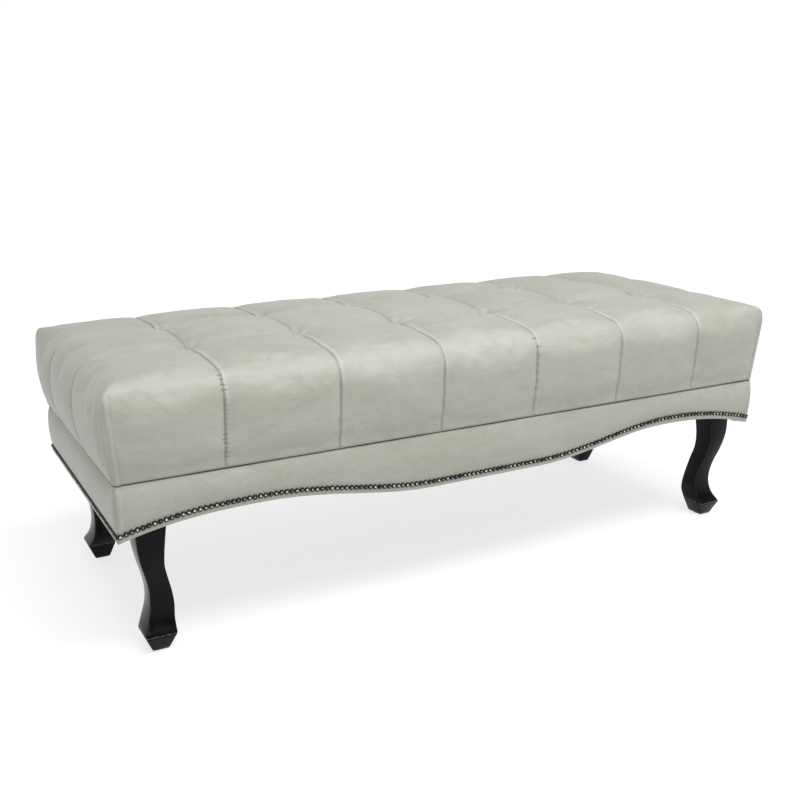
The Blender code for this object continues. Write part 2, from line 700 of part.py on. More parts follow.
leather = new_material("leather", (0.560, 0.570, 0.500), 0.42)
lacquer = new_material("black_lacquer", (0.012, 0.012, 0.013), 0.25)
nail_metal = new_material("dark_nail", (0.030, 0.026, 0.022), 0.30, 0.9)
foam_stuff = new_material("foam", (0.800, 0.740, 0.540), 0.95)
wadding = new_material("wadding", (0.850, 0.850, 0.830), 1.0)
pine = new_material("pine", (0.600, 0.420, 0.240), 0.70)
plywood = new_material("plywood", (0.560, 0.400, 0.240), 0.75)
steel = new_material("zinc_steel", (0.550, 0.550, 0.560), 0.35, 1.0)
black_cloth = new_material("black_cloth", (0.020, 0.020, 0.020), 0.95)
twine = new_material("twine", (0.620, 0.520, 0.360), 0.90)
nylon = new_material("nylon", (0.050, 0.050, 0.050), 0.50)

make_seat_cover(leather)
make_seat_foam(foam_stuff)
make_seat_deck(plywood)
for row, tuft_y in zip(("front", "back"), TUFT_YS):
    for number, tuft_x in enumerate(TUFT_XS, 1):
        make_tuft_tie("tuft_tie_%s_%d" % (row, number), tuft_x, tuft_y, twine)

nail_section = make_nail_profile()
for side, turn_angle, is_arched in SIDES:
    make_apron_cover("apron_cover_" + side, is_arched, turn_angle, leather)
    make_slab("apron_wadding_" + side, is_arched, turn_angle, SKIN,
              SKIN + APRON_WADDING + FIT, APRON_WADDING, SKIN + EDGE_ROUND,
              RAIL_TOP - EDGE_ROUND, wadding)
    make_slab("rail_" + side, is_arched, turn_angle, WRAP, WRAP + RAIL_THICKNESS + FIT,
              RAIL_THICKNESS, SKIN, RAIL_TOP, pine)
    make_nail_row("nail_row_" + side, is_arched, turn_angle, nail_section, nail_metal)

for number in range(CROSS_RAIL_COUNT):
    place = (number - (CROSS_RAIL_COUNT - 1) / 2) * CROSS_RAIL_CELLS * TUFT_PITCH
    make_cross_rail("cross_rail_%d" % (number + 1), place, pine)

for corner, sign_x, sign_y in CORNERS:
    make_leg("leg_" + corner, sign_x, sign_y, lacquer)
    make_corner_block("corner_block_" + corner, sign_x, sign_y, pine)
    make_hanger_bolt("hanger_bolt_" + corner, sign_x, sign_y, steel)
    make_tee_nut("tee_nut_" + corner, sign_x, sign_y, steel)
    make_glide("glide_" + corner, sign_x, sign_y, nylon)
make_dust_cover(black_cloth)
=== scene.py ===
"""Looks of a tufted, nail-trimmed upholstered bench.

Metres, +Z up, the bench centred on the origin, its front facing -Y.
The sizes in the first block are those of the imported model's source.
"""

import math

import bmesh
import bpy
import numpy as np
from mathutils import Matrix, Vector
from mathutils.bvhtree import BVHTree
from mathutils.noise import noise as smooth_noise


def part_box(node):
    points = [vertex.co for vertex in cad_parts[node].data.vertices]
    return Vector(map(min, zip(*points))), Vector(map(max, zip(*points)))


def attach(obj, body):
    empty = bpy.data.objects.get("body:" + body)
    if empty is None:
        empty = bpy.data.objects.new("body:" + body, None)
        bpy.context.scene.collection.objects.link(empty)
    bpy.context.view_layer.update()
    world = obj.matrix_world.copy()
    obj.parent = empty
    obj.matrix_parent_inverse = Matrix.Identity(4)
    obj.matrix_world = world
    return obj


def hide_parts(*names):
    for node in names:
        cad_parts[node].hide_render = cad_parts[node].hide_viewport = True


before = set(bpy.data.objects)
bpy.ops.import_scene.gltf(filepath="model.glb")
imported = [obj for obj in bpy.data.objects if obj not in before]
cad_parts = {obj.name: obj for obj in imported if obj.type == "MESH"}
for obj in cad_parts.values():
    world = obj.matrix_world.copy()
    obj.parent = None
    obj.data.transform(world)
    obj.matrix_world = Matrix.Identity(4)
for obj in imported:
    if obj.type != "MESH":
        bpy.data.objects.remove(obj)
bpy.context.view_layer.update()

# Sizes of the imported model
BENCH_LENGTH = 1.400
BENCH_DEPTH = 0.550
SEAM_HEIGHT = 0.320
CUSHION_THICKNESS = 0.162
CROWN_RISE = 0.018
FIT = 0.0003
LEATHER = 0.0015
APRON_WADDING = 0.004
LIP_WIDTH = 0.020
TUFT_COLUMNS = 6
END_CELL_LENGTH = 0.183
SIDE_CELL_DEPTH = 0.178
EDGE_RADIUS = 0.036
CUSHION_FLARE = 0.010
DECK_EDGE_INSET = 0.007
DECK_THICKNESS = 0.012
RAIL_THICKNESS = 0.018
APRON_CORNER_DROP = 0.0975
APRON_ARCH_DROP = 0.068
APRON_CENTRE_DROP = 0.1045
ARCH_CREST_INSET = 0.240
PLATEAU_HALF_LENGTH = 0.115
SHOULDER_POWER = 2.2
NAIL_PITCH = 0.0095
NAIL_HEIGHT = 0.0026
NAIL_LINE_OFFSET = 0.0125
LEG_END_INSET = 0.060
LEG_SIDE_INSET = 0.052
LEG_WIDTH = 0.050
GLIDE_HEIGHT = 0.002
FOOT_LEVEL_SHARE = 0.125
# Share of the height, then outer x, inner x, outer y and inner y in shares of the width
LEG_PROFILE_SHARES = (
    (0.125, 0.42, 0.67, 0.50, 0.62),
    (0.205, 0.22, 0.69, 0.21, 0.80),
    (0.300, 0.11, 0.73, 0.10, 0.72),
    (0.400, 0.11, 0.66, 0.13, 0.63),
    (0.500, 0.20, 0.53, 0.24, 0.56),
    (0.595, 0.34, 0.42, 0.38, 0.46),
    (0.690, 0.45, 0.41, 0.49, 0.41),
    (0.785, 0.51, 0.45, 0.54, 0.42),
    (1.000, 0.51, 0.60, 0.54, 0.50),
)
FOOT_BASE_SHARES = (0.16, 0.42, 0.25, 0.50)
DUST_COVER_THICKNESS = 0.0008
DUST_COVER_CUT_CLEARANCE = 0.001

HALF_LENGTH = BENCH_LENGTH / 2
HALF_DEPTH = BENCH_DEPTH / 2
SKIN = LEATHER + FIT
WRAP = SKIN + APRON_WADDING + FIT
RIM_HEIGHT = SEAM_HEIGHT + CUSHION_THICKNESS
CUSHION_BOTTOM = SEAM_HEIGHT + FIT / 2
APRON_TOP = SEAM_HEIGHT - FIT / 2
DECK_BOTTOM = CUSHION_BOTTOM + SKIN
DECK_TOP = DECK_BOTTOM + DECK_THICKNESS
RAIL_INNER_X = HALF_LENGTH - WRAP - RAIL_THICKNESS
RAIL_INNER_Y = HALF_DEPTH - WRAP - RAIL_THICKNESS
ARCH_CREST_X = HALF_LENGTH - ARCH_CREST_INSET
LEG_AXIS_X = HALF_LENGTH - LEG_END_INSET
LEG_AXIS_Y = HALF_DEPTH - LEG_SIDE_INSET
LEG_TOP_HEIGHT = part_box("leg_front_left")[1][2]
LAST_TUFT_X = HALF_LENGTH - END_CELL_LENGTH
TUFT_PITCH = 2 * LAST_TUFT_X / (TUFT_COLUMNS - 1)
TUFT_ROW_OFFSET = HALF_DEPTH - SIDE_CELL_DEPTH
TUFT_XS = np.array([TUFT_PITCH * i - LAST_TUFT_X for i in range(TUFT_COLUMNS)])
TUFT_YS = np.array([-TUFT_ROW_OFFSET, TUFT_ROW_OFFSET])

# Cushion surface
WALL_TOP = RIM_HEIGHT - EDGE_RADIUS
WIDE_X = HALF_LENGTH + CUSHION_FLARE     # half sizes at its widest
WIDE_Y = HALF_DEPTH + CUSHION_FLARE
ROLL_INSET = EDGE_RADIUS - CUSHION_FLARE
FLAT_X = HALF_LENGTH - ROLL_INSET        # half sizes inside the roll
FLAT_Y = HALF_DEPTH - ROLL_INSET
CELL_STEP = 0.0095           # mesh size between seams
SEAM_SIDE_LINES = (0.003, 0.008)
CORNER_LINES = (0.0, 0.003, 0.006, 0.0095, 0.012, 0.015, 0.022)
PLAN_CORNER_RADIUS = 0.0060
ROLL_STEPS = 7
WALL_STEPS = 14
FOOT_ROUND = 0.004
FOOT_OUTSET = 0.0005
LIP_START = 0.012
CORNER_REACH = 0.100         # the roll tightens this near to a corner
CROWN_POWERS = (6, 2.6)
PILLOW_RISE = 0.0088
WALL_SWELL = 0.0030
WALL_SEAM_DRAW = 0.0015
WALL_CORNER_REACH = 0.030
WALL_BELLY = (0.42, 0.58)    # share of half a wave where the wall starts, and its span
WALL_BELLY_LEAST = 0.25
WALL_SEAM_SHARE = 0.8        # of SEAM_REACH, down the wall
END_BULGE = 0.0075           # the left end is stuffed out further
END_SEAM_DRIFT = 0.034       # and its seams run backwards on their way down
COLUMN_DIP = 0.0008
COLUMN_DIP_WIDTH = 0.016
COLUMN_DIP_ENDS = (0.150, 0.205, 0.249)
SEAM_REACH = 0.026           # how far a seam's pull is felt
SEAM_SOFTNESS = 0.002
BORDER_SEAM_SHARE = 0.30     # what is left of a seam's pull at the seat's edge
FRONT_SEAM_SHARE = 0.75
FRONT_BAND = (-0.24, -0.14)
CORNER_FLATNESS = 0.85
CORNER_FLAT_REACH = 0.055
BORDER_REACH = 0.070
TUFT_REACH = 0.022
TUFT_SOFTNESS = 0.005
TUFT_PULL = 0.0122
LIFT_FRONT = 0.001
LIFT_BACK_LEFT = -0.004
LIFT_BACK_RISE = 0.015
GROOVE_DEPTH = 0.0017
GROOVE_WIDTH = 0.0015
WELT_RISE = 0.0015           # the raised strip to the right of a seam
WELT_OFFSET = 0.0038
WELT_WIDTH = 0.0019
WELT_REACH = (0.012, 0.020)
TOP_BAND = (RIM_HEIGHT - 0.020, RIM_HEIGHT - 0.004)
SEATED = RIM_HEIGHT - 0.02   # above this a point belongs to the seat
FELL_WIDTH = 0.0108          # folded strip beside a corner seam
FELL_RISE = 0.0009
FELL_SEAM_OFFSET = 0.0012
FELL_EDGES = (0.0022, 0.0040)
FELL_FADE = (-0.0010, 0.0014)
FELL_GROOVE_WIDTH = 0.0014
CORNER_SEAM_DEPTH = 0.0022
CORNER_SEAM_HALF = 0.0016
CORNER_SEAM_SOFTNESS = 0.0013
CORNER_LEAN = 0.0105         # how far a corner seam leans in at the bottom
UNEVENNESS = 0.0007
# At the front left, front right, back left and back right corners
CORNER_EDGE_RADII = (0.031, 0.015, 0.012, 0.016)
WALL_FULLNESS = (1.8, 0.9, 1.8, 1.1)

# Cloth run on the cushion
CLOTH_FRAMES = 20
CLOTH_CAP = 0.005
CLOTH_TOP = RIM_HEIGHT - 0.010
HELD_TUFT_RADIUS = 0.009
SEAM_HOLD = 0.35
TUFT_HOLD = 0.6
TUFT_HOLD_REACH = 0.03
CORNER_HELD_REACH = 0.012
CORNER_HOLD = 0.95
CLOTH_SETTINGS = {
    "quality": 6, "mass": 0.3, "tension_stiffness": 12.0, "compression_stiffness": 12.0,
    "shear_stiffness": 6.0, "bending_stiffness": 0.35, "vertex_group_mass": "held",
    "pin_stiffness": 1.0, "use_pressure": True, "uniform_pressure_force": 4.0,
    "shrink_min": -0.012,
}

# Folds by the tufts, and creases pulled from them
FOLD_COUNT = 7
FOLD_RADIUS = 0.021
FOLD_REACH = 0.012
FOLD_HEIGHT = 0.0020
CREASE_WIDTH = 0.0055
CREASE_STRENGTH = 2.1
CREASE_ENDS = (0.02, 0.25, 0.55, 1.0)   # shares of its length: starts, full, fades, ends
CREASE_RIDGE = (0.55, 2.1, 1.4)         # the ridge beside it: height, place and width
# Tuft, way in degrees, length, depth, bend
CREASES = (
    ((3, 0), 222, 0.105, 0.0020, 0.35),
    ((3, 0), 250, 0.070, 0.0014, -0.30),
    ((3, 0), 320, 0.060, 0.0012, 0.25),
    ((2, 0), 205, 0.060, 0.0012, 0.20),
    ((4, 0), 228, 0.062, 0.0013, -0.20),
    ((1, 0), 152, 0.066, 0.0014, 0.30),
    ((0, 0), 140, 0.050, 0.0011, -0.30),
    ((0, 1), 330, 0.056, 0.0012, 0.25),
    ((2, 1), 300, 0.060, 0.0013, 0.30),
    ((3, 1), 236, 0.075, 0.0016, -0.30),
    ((4, 1), 310, 0.050, 0.0011, 0.20),
    ((5, 0), 60, 0.052, 0.0010, 0.25),
    ((5, 1), 250, 0.060, 0.0012, -0.25),
    ((1, 1), 215, 0.066, 0.0013, 0.30),
    ((1, 1), 60, 0.050, 0.0010, -0.20),
)

# Stitches
THREAD_SIDES = 6
# Share of the thread's length, height and width in shares of its radius
THREAD_SHAPE = ((-0.5, -0.7, 0.45), (-0.38, 0.3, 0.9), (0.0, 0.9, 1.0), (0.38, 0.3, 0.9),
                (0.5, -0.7, 0.45))
STITCH_PITCH = 0.0056
STITCH_LENGTH = 0.0036
STITCH_RADIUS = 0.00042
CROSS_STITCH_LENGTH = 0.0108
CROSS_STITCH_RADIUS = 0.00048
CROSS_STITCH_PITCH = 0.0082
CROSS_STITCH_SHIFT = 0.0020
CROSS_STITCH_SEARCH = 0.008
CROSS_STITCH_FIRST_RAY = 32
# Which seam, pitch, and the share of stitches that are there
CROSS_STITCHED = ((0, CROSS_STITCH_PITCH, 0.97), (3, 2 * CROSS_STITCH_PITCH, 0.7))
CORNER_SEAM_START = 0.024
SEAM_END = 0.006             # the threads stop this far from a tuft and from the bottom
SEAM_RAYS = 24               # rays on the seat, and again down the wall
ROLL_RAYS = 16
ROLL_RAY_LIFT = 0.006
RAY_REACH = 0.3

# Apron surface
APRON_STEP = 0.0050
APRON_ROUND = 0.0045
APRON_LIP_ROUND = 0.003
APRON_SWELLS = {"front": 0.0036, "right": 0.0060, "back": 0.0036, "left": 0.0066}
LEFT_CORNER_SWELL = 0.0042
RIGHT_CORNER_SWELL = 0.0046
APRON_CORNER_RADIUS = 0.005
MITRE_SHARE = 0.293          # how far a round corner's middle lies inside a sharp one
MITRE_GAP = 0.00015
SWELL_CHANGE = (0.006, 0.09)
APRON_FELL = 0.0006
APRON_FELL_BAND = (0.0025, 0.0040, 0.0098, 0.0118)
LIP_BEND = 0.013
HAND_CUT = 0.0030
NAIL_BAND = 0.0055
END_LINES = (0.0, 0.0012, 0.0026, 0.004, 0.0055, 0.0075, 0.0095, 0.0108, 0.0122, 0.014,
             0.0175, 0.022, 0.027)
END_REACH = 0.030

# Nails
NAIL_SIDES = 14
# Share of the head's radius, share of its height, how bright its painted highlight is
NAIL_SHAPE = ((1.00, 0.00, 0.0), (1.00, 0.18, 0.0), (0.93, 0.36, 0.1), (0.78, 0.62, 0.3),
              (0.58, 0.83, 0.60), (0.36, 0.94, 0.95))
NAIL_SAMPLES = 1600
NAIL_FILL = 0.995            # heads nearly touch
NAIL_TILT = 0.05             # how far off a nail may be by hand: its tilt and its shifts
NAIL_SHIFTS = (0.00018, 0.00025)
# How strong the painted highlight is, from nail to nail
NAIL_HIGHLIGHT_RANGE = (0.85, 1.12)

# Legs
LEG_CORNER_ROUND = 0.0022
LEG_STEPS = 56
LEG_FOOT_STEPS = (0.2, 0.4, 0.6, 0.8, 0.95)
LEG_BASE_BEVEL = 0.018       # in shares of the leg's width, like the foot's own
LEG_BASE_BEVEL_HEIGHT = 0.0008
LEG_FOOT_BEVEL = 0.012
LEG_SHARP_DEGREES = 42
LEG_CORNER_ANGLES = (0, 30, 60, 90)

# Underside
CLOTH_STEP = 0.018
CLOTH_SAG = 0.0035
CLOTH_RIPPLE = 0.0006
STAPLE_LENGTH = 0.0105
STAPLE_RADIUS = 0.0005
STAPLE_LIFT = 0.0004

# Camera, fitted to the photograph
CAMERA_PLACE = (-1.0068, -1.7521, 0.8515)
CAMERA_YAW_DEGREES = 28.941
CAMERA_PITCH_DEGREES = 15.206
CAMERA_ROLL_DEGREES = -0.147
CAMERA_LENS = 44.31

# Light and leather
KEY_PLACE = (0.15, -1.22, 2.85)
KEY_AIM = (0.05, 0.0, 0.45)
KEY_SIZE = (3.2, 1.5)
KEY_POWER = 123.0
KEY_COLOUR = (0.995, 0.990, 1.045)
LEATHER_BASE = (0.257, 0.265, 0.213)
LEATHER_PALE = (0.345, 0.352, 0.304)
# Painted shade for the seams, the tufts, the joint under the cushion and round the nails
LEATHER_PAINTED_SHADE = (0.086, 0.087, 0.069)
# Painted highlight for the raised strip beside the seams
LEATHER_HIGHLIGHT = (0.455, 0.460, 0.410)

CORNERS = (
    ("front_left", -1, -1),
    ("front_right", 1, -1),
    ("back_left", -1, 1),
    ("back_right", 1, 1),
)
# Turn, whether it is arched, half length, how far out its face lies, which way its x runs
SIDES = {
    "front": (0.0, True, HALF_LENGTH, HALF_DEPTH, 1),
    "right": (math.pi / 2, False, HALF_DEPTH, HALF_LENGTH, 1),
    "back": (math.pi, True, HALF_LENGTH, HALF_DEPTH, -1),
    "left": (-math.pi / 2, False, HALF_DEPTH, HALF_LENGTH, 1),
}


# Meshes

def add_object(name, data):
    obj = bpy.data.objects.new(name, data)
    bpy.context.scene.collection.objects.link(obj)
    return obj


def add_mesh(name, points, faces, material):
    """A new smooth-shaded piece that rides on the bench's one body."""
    mesh = bpy.data.meshes.new(name)
    mesh.from_pydata([tuple(p) for p in points], [], faces)
    mesh.validate()
    mesh.shade_smooth()
    mesh.materials.append(material)
    obj = add_object(name, mesh)
    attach(obj, "root")
    return obj


def values_of(data, key, width=3):
    """One property of every element of a mesh, a row each."""
    flat = np.empty(len(data) * width)
    data.foreach_get(key, flat)
    return flat.reshape(-1, width)


def set_points(mesh, points):
    mesh.vertices.foreach_set("co", points.reshape(-1))
    mesh.update()


def add_attribute(mesh, name, values):
    layer = mesh.attributes.new(name, "FLOAT", "POINT")
    layer.data.foreach_set("value", np.asarray(values, dtype=float))


def bake_modifier(obj, kind, **settings):
    """Adds a modifier; the mesh that it gives then takes the place of the object's own."""
    modifier = obj.modifiers.new(kind.lower(), kind)
    for key, value in settings.items():
        setattr(modifier, key, value)
    graph = bpy.context.evaluated_depsgraph_get()
    done = bpy.data.meshes.new_from_object(obj.evaluated_get(graph))
    obj.modifiers.clear()
    old = obj.data
    obj.data = done
    done.name = old.name
    bpy.data.meshes.remove(old)
    done.shade_smooth()


def face_outwards(mesh, close=False):
    """Turns all faces outwards, if asked after laying a flat face over every open loop."""
    bm = bmesh.new()
    bm.from_mesh(mesh)
    if close:
        bmesh.ops.holes_fill(bm, edges=[e for e in bm.edges if e.is_boundary], sides=0)
    bmesh.ops.recalc_face_normals(bm, faces=bm.faces)
    bm.to_mesh(mesh)
    bm.free()


def noise_at(points, scale, offset=0.0):
    return np.array([smooth_noise(Vector(p) * scale + Vector((offset, 0, 0))) for p in points])


def tube_faces(start, rings, count):
    """Quads between rings that follow one another, each a closed loop of count points."""
    return [(a + i, a + (i + 1) % count, a + count + (i + 1) % count, a + count + i)
            for a in range(start, start + (rings - 1) * count, count) for i in range(count)]


# Materials

class Shader:
    """A node material in the making, with its coordinates in the bench's own frame."""

    def __init__(self, name):
        self.material = bpy.data.materials.new(name)
        self.material.use_nodes = True
        self.nodes = self.material.node_tree.nodes
        self.links = self.material.node_tree.links
        self.principled = self.nodes["Principled BSDF"]
        self.coordinates = self.nodes.new("ShaderNodeTexCoord").outputs["Object"]

    def put(self, socket, value):
        if isinstance(value, bpy.types.NodeSocket):
            self.links.new(value, socket)
        else:
            socket.default_value = value

    def node(self, kind, inputs, **settings):
        node = self.nodes.new("ShaderNode" + kind)
        for key, value in settings.items():
            setattr(node, key, value)
        for key, value in inputs.items():
            self.put(node.inputs[key], value)
        return node

    def texture(self, kind, scale, stretch, inputs, **settings):
        place = self.node("Mapping", {"Scale": stretch, "Vector": self.coordinates})
        return self.node("Tex" + kind, {"Vector": place.outputs["Vector"], "Scale": scale,
                                        **inputs}, **settings)

    def noise(self, scale, detail=4.0, roughness=0.55, stretch=(1, 1, 1), distortion=0.0):
        return self.texture("Noise", scale, stretch, {
            "Detail": detail, "Roughness": roughness, "Distortion": distortion}).outputs["Fac"]

    def cells(self, scale):
        return self.texture("Voronoi", scale, (1, 1, 1), {}).outputs["Distance"]

    def waves(self, scale, direction, stretch=(1, 1, 1), distortion=0.0):
        return self.texture("Wave", scale, stretch, {"Distortion": distortion, "Detail": 3.0},
                            bands_direction=direction).outputs["Fac"]

    def attribute(self, name):
        return self.node("Attribute", {}, attribute_name=name).outputs["Fac"]

    def ramp(self, value, low, high, start=0.0, end=1.0):
        return self.node("MapRange", {"From Min": low, "From Max": high, "To Min": start,
                                      "To Max": end, "Value": value}).outputs["Result"]

    def math(self, operation, a, b):
        return self.node("Math", {0: a, 1: b}, operation=operation).outputs[0]

    def mix(self, share, a, b):
        a, b = ((*colour, 1) if isinstance(colour, tuple) else colour for colour in (a, b))
        return self.node("Mix", {"Factor": share, 6: a, 7: b}, data_type="RGBA").outputs[2]

    def finish(self, colour, roughness, *bumps, **values):
        """Sets the surface; bumps are layers of (height, distance in metres)."""
        values.update(Base_Color=colour, Roughness=roughness)
        for height, distance in bumps:
            layer = {"Distance": distance, "Strength": 1.0, "Height": height}
            if "Normal" in values:
                layer["Normal"] = values["Normal"]
            values["Normal"] = self.node("Bump", layer).outputs["Normal"]
        for name, value in values.items():
            self.put(self.principled.inputs[name.replace("_", " ")], value)
        return self.material


def leather_material():
    """Pale leather with a brushed two-tone finish, a painted highlight beside its seams and
    painted shade in them.
    """
    shader = Shader("leather_finish")
    cloud = shader.noise(9.0, 5.0, 0.60, (0.55, 1, 1), 0.4)
    scuff = shader.noise(38.0, 7.0, 0.68, (0.40, 1, 1), 0.8)
    fine = shader.noise(190.0, 4.0, 0.60, (0.60, 1, 1))
    tone = shader.math("ADD", shader.ramp(cloud, 0.36, 0.66, 0.0, 0.30),
                       shader.ramp(scuff, 0.40, 0.68, 0.0, 0.36))
    tone = shader.math("ADD", tone, shader.ramp(fine, 0.35, 0.70, -0.06, 0.12))
    colour = shader.mix(tone, LEATHER_BASE, LEATHER_PALE)
    # Painted highlight
    colour = shader.mix(shader.attribute("welt_highlight"), colour, LEATHER_HIGHLIGHT)
    # Painted shade
    colour = shader.mix(shader.attribute("painted_shade"), colour, LEATHER_PAINTED_SHADE)
    creases = shader.noise(60.0, 6.0, 0.62, (0.8, 1, 1), 0.9)
    pucker = shader.math("MULTIPLY", shader.attribute("pull"),
                         shader.noise(170.0, 2.0, 0.5, (1, 1, 1), 0.3))
    return shader.finish(
        colour, shader.ramp(scuff, 0.35, 0.70, 0.46, 0.60),
        (shader.ramp(creases, 0.35, 0.65), 0.00035), (shader.cells(620.0), 0.00012),
        (shader.noise(900.0, 3.0), 0.00005), (pucker, 0.0016),
        Specular_IOR_Level=0.50, Sheen_Weight=0.13, Sheen_Roughness=0.45)


def thread_material(name, dark, pale):
    shader = Shader(name)
    return shader.finish(shader.mix(shader.noise(900.0), dark, pale), 0.70,
                         (shader.waves(900.0, "DIAGONAL"), 0.00008))


def nail_material():
    """Dark antiqued steel with a painted highlight at the crown of each head, paler and more
    metallic there.
    """
    shader = Shader("nail_finish")
    # Painted highlight at the crown: paler, more metallic and smoother
    highlight_strength = shader.math("ADD", shader.attribute("crown"),
                       shader.ramp(shader.noise(420.0, 3.0), 0.30, 0.70, -0.16, 0.16))
    highlight_share = shader.ramp(highlight_strength, 0.84, 1.00)
    return shader.finish(shader.mix(highlight_share, (0.004, 0.004, 0.004), (0.520, 0.505, 0.450)),
                         shader.ramp(highlight_share, 0.0, 1.0, 0.34, 0.24),
                         (shader.noise(1100.0, 3.0), 0.00010),
                         Metallic=shader.ramp(highlight_share, 0.0, 1.0, 0.2, 0.9),
                         Specular_IOR_Level=0.25)


def lacquer_material():
    """Black lacquered wood, paler along its scuffed edges, with a painted highlight along the
    foot's widest line.
    """
    shader = Shader("lacquer_finish")
    streaks = shader.noise(60.0, 5.0, 0.6, (1, 1, 0.12))
    black = shader.mix(shader.ramp(streaks, 0.35, 0.70), (0.0007, 0.0007, 0.0008),
                       (0.0022, 0.0022, 0.0024))
    dust = shader.ramp(shader.noise(240.0, 4.0, 0.65), 0.3, 0.7, -0.35, 0.15)
    # Scuffed edges, and a painted highlight along the foot's widest line
    wear_and_highlight = shader.ramp(shader.math("ADD", shader.attribute("edge"), dust), 0.62, 1.0)
    return shader.finish(shader.mix(wear_and_highlight, black, (0.120, 0.120, 0.123)),
                         shader.ramp(streaks, 0.30, 0.70, 0.16, 0.28), (streaks, 0.00008),
                         Specular_IOR_Level=0.115)


def wood_material(name, pale, dark, stretch, rings):
    shader = Shader(name)
    grain = shader.waves(rings, "Z", stretch, 6.0)
    fibre = shader.noise(260.0, 5.0, 0.6, stretch)
    return shader.finish(shader.mix(shader.math("MULTIPLY", grain, fibre), pale, dark),
                         shader.ramp(fibre, 0.30, 0.70, 0.62, 0.82),
                         (fibre, 0.0003), (grain, 0.0002))


def steel_material():
    shader = Shader("zinc_finish")
    spots = shader.ramp(shader.cells(420.0), 0.0, 0.8)
    return shader.finish(shader.mix(spots, (0.46, 0.47, 0.49), (0.66, 0.66, 0.64)),
                         shader.ramp(shader.noise(300.0), 0.30, 0.70, 0.28, 0.46),
                         (shader.noise(700.0), 0.00006), Metallic=1.0)


def nylon_material():
    shader = Shader("nylon_finish")
    black = shader.mix(shader.noise(220.0), (0.030, 0.030, 0.030), (0.060, 0.058, 0.056))
    return shader.finish(black, shader.ramp(shader.noise(480.0), 0.3, 0.7, 0.42, 0.62),
                         (shader.noise(800.0), 0.00008))


def twine_material():
    shader = Shader("twine_finish")
    twist = shader.waves(420.0, "DIAGONAL", (1, 1, 1), 1.5)
    return shader.finish(shader.mix(twist, (0.42, 0.33, 0.20), (0.70, 0.60, 0.42)), 0.88,
                         (twist, 0.0004))


def dust_cloth_material():
    """Black spun-bonded cloth with its pressed dots."""
    shader = Shader("dust_cloth_finish")
    fibres = shader.noise(520.0, 6.0, 0.75)
    dots = shader.cells(480.0)
    return shader.finish(shader.mix(fibres, (0.010, 0.010, 0.011), (0.034, 0.034, 0.036)),
                         shader.ramp(dots, 0.1, 0.5, 0.70, 0.95),
                         (dots, 0.00025), (fibres, 0.00015))


# Cushion

def smoothstep(values, low, high):
    t = np.clip((values - low) / (high - low), 0.0, 1.0)
    return t * t * (3 - 2 * t)


def bell(distance, width):
    return np.exp(-(distance / width) ** 2)


def fill_lines(stops, step):
    """Places between fixed stops, spread evenly at about one step."""
    lines = [stops[0]]
    for start, end in zip(stops[:-1], stops[1:]):
        count = max(1, round((end - start) / step))
        lines += [start + (end - start) * i / count for i in range(1, count + 1)]
    return np.array(lines)


def cushion_lines(seams, half):
    """Mesh lines across the cushion at its widest, closer together by seams and corners."""
    stops = [-half + e for e in CORNER_LINES] + [half - e for e in CORNER_LINES]
    for seam in seams:
        stops.append(seam)
        for side in SEAM_SIDE_LINES:
            stops += [seam - side, seam + side]
    return fill_lines(sorted(stops), CELL_STEP)


def squeeze(lines, seams, half, new_half):
    """The lines of an end cell, drawn in or out so that they end at another half length."""
    last = seams[-1]
    reach = np.abs(lines) - last
    scaled = np.sign(lines) * (last + reach * (new_half - last) / (half - last))
    return np.where(reach > 0, scaled, lines)


def nearest(values, seams):
    return np.min(np.abs(np.asarray(values)[..., None] - seams), axis=-1)


def signed_nearest(values, seams):
    """Distance from the nearest seam, positive to its right."""
    offsets = np.asarray(values)[..., None] - seams
    return np.take_along_axis(offsets, np.argmin(np.abs(offsets), axis=-1)[..., None], -1)[..., 0]


def tuft_gap(x, y):
    """Distance from the nearest tuft, seen from above."""
    return np.hypot(nearest(x, TUFT_XS), nearest(y, TUFT_YS))


def seam_pull(distance, reach, softness=SEAM_SOFTNESS):
    """1 on a seam, falling away from it, soft at the seam itself."""
    return np.exp(-(np.sqrt(distance ** 2 + softness ** 2) - softness) / reach)


def crown(x, y):
    share_x = np.clip(np.abs(x) / FLAT_X, 0, 1)
    share_y = np.clip(np.abs(y) / FLAT_Y, 0, 1)
    return CROWN_RISE * (1 - share_x ** CROWN_POWERS[0]) * (1 - share_y ** CROWN_POWERS[1])


def plan_shares(x, y):
    """How far right and how far back a place lies, 0 to 1."""
    return (np.clip((x / HALF_LENGTH + 1) / 2, 0, 1), np.clip((y / HALF_DEPTH + 1) / 2, 0, 1))


def hand_made_lift(x, y):
    """The seat is stuffed a little fuller towards its back right corner."""
    right, back = plan_shares(x, y)
    return LIFT_FRONT * right + back * (LIFT_BACK_LEFT + LIFT_BACK_RISE * right)


def between_corners(x, y, values):
    """A value given at the front left, front right, back left and back right corners."""
    right, back = plan_shares(x, y)
    front_left, front_right, back_left, back_right = values
    return (front_left * (1 - right) + front_right * right) * (1 - back) + (
        back_left * (1 - right) + back_right * right) * back


def edge_radius(gap, x, y):
    """Radius of the roll at a distance along the edge from the nearest corner."""
    tight = between_corners(x, y, CORNER_EDGE_RADII)
    return tight + (EDGE_RADIUS - tight) * smoothstep(gap, 0.0, CORNER_REACH)


